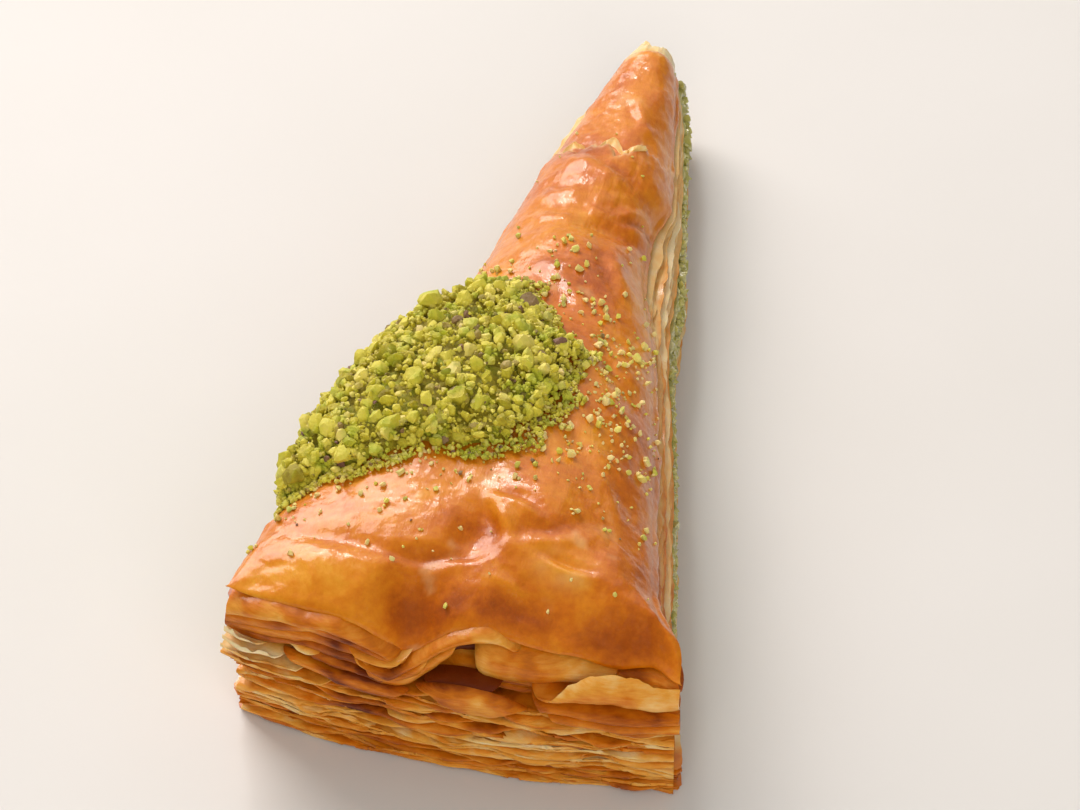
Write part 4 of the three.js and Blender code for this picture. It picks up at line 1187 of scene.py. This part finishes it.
def heap_places(count, low, high, seed, reach):
    """Places on the heap and radii of crumbs: spread evenly by the golden angle and shaken, with nearly
    half of them moved to its steep rim, and lifted so that each is half sunk among the others. The radii
    crowd towards the low one."""
    rng = np.random.default_rng(seed)
    i = np.arange(count)
    share = np.sqrt((i + rng.random(count)) / count)
    on_rim = rng.random(count) < 0.45
    share = reach * np.where(on_rim, 1 - 0.26 * rng.random(count) ** 1.2, share)
    angle = i * GOLDEN_ANGLE + rng.uniform(-0.3, 0.3, count)
    s, p = heap_plan(share, angle)
    radii = mix(low, high, rng.random(count) ** 1.7)
    lift = heap_thickness(np.minimum(share, 1), angle) * np.where(on_rim, rng.uniform(0.05, 1, count), 1)
    lift = np.maximum(lift - 0.8 * smooth((1 - share) / 0.2), 0)
    lift = lift + radii * rng.uniform(0.0, 0.75, count) + 0.3
    return on_skin(np.clip(s, 0.01, 0.99), p, lift), radii


def loose_places(grid, seed):
    """Places on the bare crust and radii of crumbs: close round the heap and thinning away from it, a thin
    field to its right as far as the shoulder, and a few stray ones anywhere, all kept in clumps by a random
    field."""
    near, field, stray = 1500, 640, 60
    rng = np.random.default_rng(seed)
    share = 1.0 + 0.55 * rng.random(near) ** 2.2
    by_heap = points_of(*heap_plan(share, rng.uniform(0, 2 * math.pi, near)))
    on_right = np.stack([rng.uniform(0.40, 0.95, field), rng.uniform(-0.2, 0.56, field)], -1)
    on_right = on_right[rng.random(field) < bell((on_right[:, 0] - 0.62) / 0.22)]
    anywhere = np.stack([rng.uniform(0.15, 0.98, stray), rng.uniform(-0.5, 0.5, stray)], -1)
    sown = np.concatenate([by_heap, on_right, anywhere])
    clump = cloud(sown * (LENGTH, SKIN_PER_P), 5, seed + 1, 2)
    keep = (np.abs(sown[:, 1]) < 0.575) & (sown[:, 0] > 0.1) & (clump > rng.uniform(-1.1, 0.6, len(sown)))
    s, p = sown[keep].T
    radii = mix(0.2, 0.75, rng.random(len(s)) ** 2.4)
    return on_crust(grid, s, p, radii * 0.5), radii


def filling_places(count, seed):
    """Places and radii of nut bits in the filling: most in its cut sides, at any height between its
    underside and its top, and a few in its tip. Each is sunk by a share of its radius."""
    rng = np.random.default_rng(seed)
    s = mix(0.006, BAND_END - 0.01, rng.random(count))
    side = rng.choice((-1.0, 1.0), count)
    radii = mix(0.4, 1.15, rng.random(count) ** 1.6)
    z = band_height(s, rng.uniform(0.07, 0.93, count))
    x = side * (half_width(np.maximum(s, 0.03), side, 0) - 0.05 - 0.4 * radii)
    on_tip = rng.random(count) < 0.06
    s = np.where(on_tip, 0.002 + 0.5 * radii / LENGTH, s)
    x = np.where(on_tip, rng.uniform(-0.95, 0.95, count) * half_width(0.03, side, 0), x)
    return place(s, x, z, 0), radii


def build_pistachio(grid):
    """The heap: a mealy inside, then coarse, middling and fine crumbs over it, loose ones on the crust
    beside it, and the nut bits of the filling."""
    build_heap_core()
    for i, (name, count, low, high, reach, level, sharp) in enumerate(HEAP_CRUMBS):
        crumbs(name, heap_places(count, low, high, 61 + i, reach), level, 71 + i, sharp)
    crumbs("pistachio_loose", loose_places(grid, 64), 1, 74, 40, tone=(0.7, 1.15))
    crumbs("filling_bits", filling_places(1500, 65), 1, 75, 40, material=PASTE)


crust_grid = build_crust()
build_flakes(crust_grid)
build_sheets()
build_folds()
build_filling()
build_pistachio(crust_grid)


# ---- floor, light and camera ----
def build_floor():
    """A wide square of worktop, as a flat slab in a coarse grid."""
    u = np.linspace(-2500, 2500, 41)[:, None]
    top = points_of(u, u.T, 0)
    points, faces = outward(shell_of_sheet(top, top - (0, 0, 20.0)))
    mesh = bpy.data.meshes.new("floor")
    mesh.from_pydata((points * 0.001).tolist(), [], faces.tolist())
    mesh.materials.append(pale_stone())
    floor = in_scene("floor", mesh)


def aimed(name, data, place_m, aim_m):
    """A light or camera at a place, turned towards a point, both in metres."""
    made = in_scene(name, data)
    made.location = place_m
    made.rotation_euler = (Vector(aim_m) - Vector(place_m)).to_track_quat("-Z", "Y").to_euler()
    return made


def lamp(name, place_m, aim_m, size, watts, tint):
    """A square soft light at a place, turned towards a point."""
    data = bpy.data.lights.new(name, "AREA")
    data.shape = "SQUARE"
    data.size = size
    data.energy = watts
    data.color = colour(tint)[:3]
    return aimed(name, data, place_m, aim_m)


build_floor()
lamp("window", (-0.62, 0.62, 0.66), (0, 0, 0.02), 0.75, 12.8, "#FFF4EE")
lamp("pane", (-0.34, 0.82, 0.72), (0, 0, 0.02), 0.12, 1.5, "#FFFFFF")
lamp("bounce", (0.3, -1.0, 0.7), (0, 0, 0.02), 0.9, 8.5, "#FFFAF2").visible_glossy = False
lamp("ceiling", (0, 0, 1.5), (0, 0, 0), 3.0, 8, "#FFFCF6").visible_glossy = False
lamp("sky", (-0.2, 1.1, 1.0), (0, 0, 0.02), 1.7, 5.5, "#F4F2FF").visible_diffuse = False

world = bpy.data.worlds.new("soft_room")
bpy.context.scene.world = world
world.use_nodes = True
background = world.node_tree.nodes["Background"]
background.inputs["Color"].default_value = colour("#F8F4EC")
background.inputs["Strength"].default_value = 0.16

camera_data = bpy.data.cameras.new("camera")
camera_data.lens = 272
camera_data.sensor_width = 36
camera_data.clip_end = 20
bpy.context.scene.camera = aimed("camera", camera_data, (0.1889, -0.8978, 0.8601), (-0.001, -0.006, 0.014))
bpy.context.scene.view_settings.view_transform = "Standard"
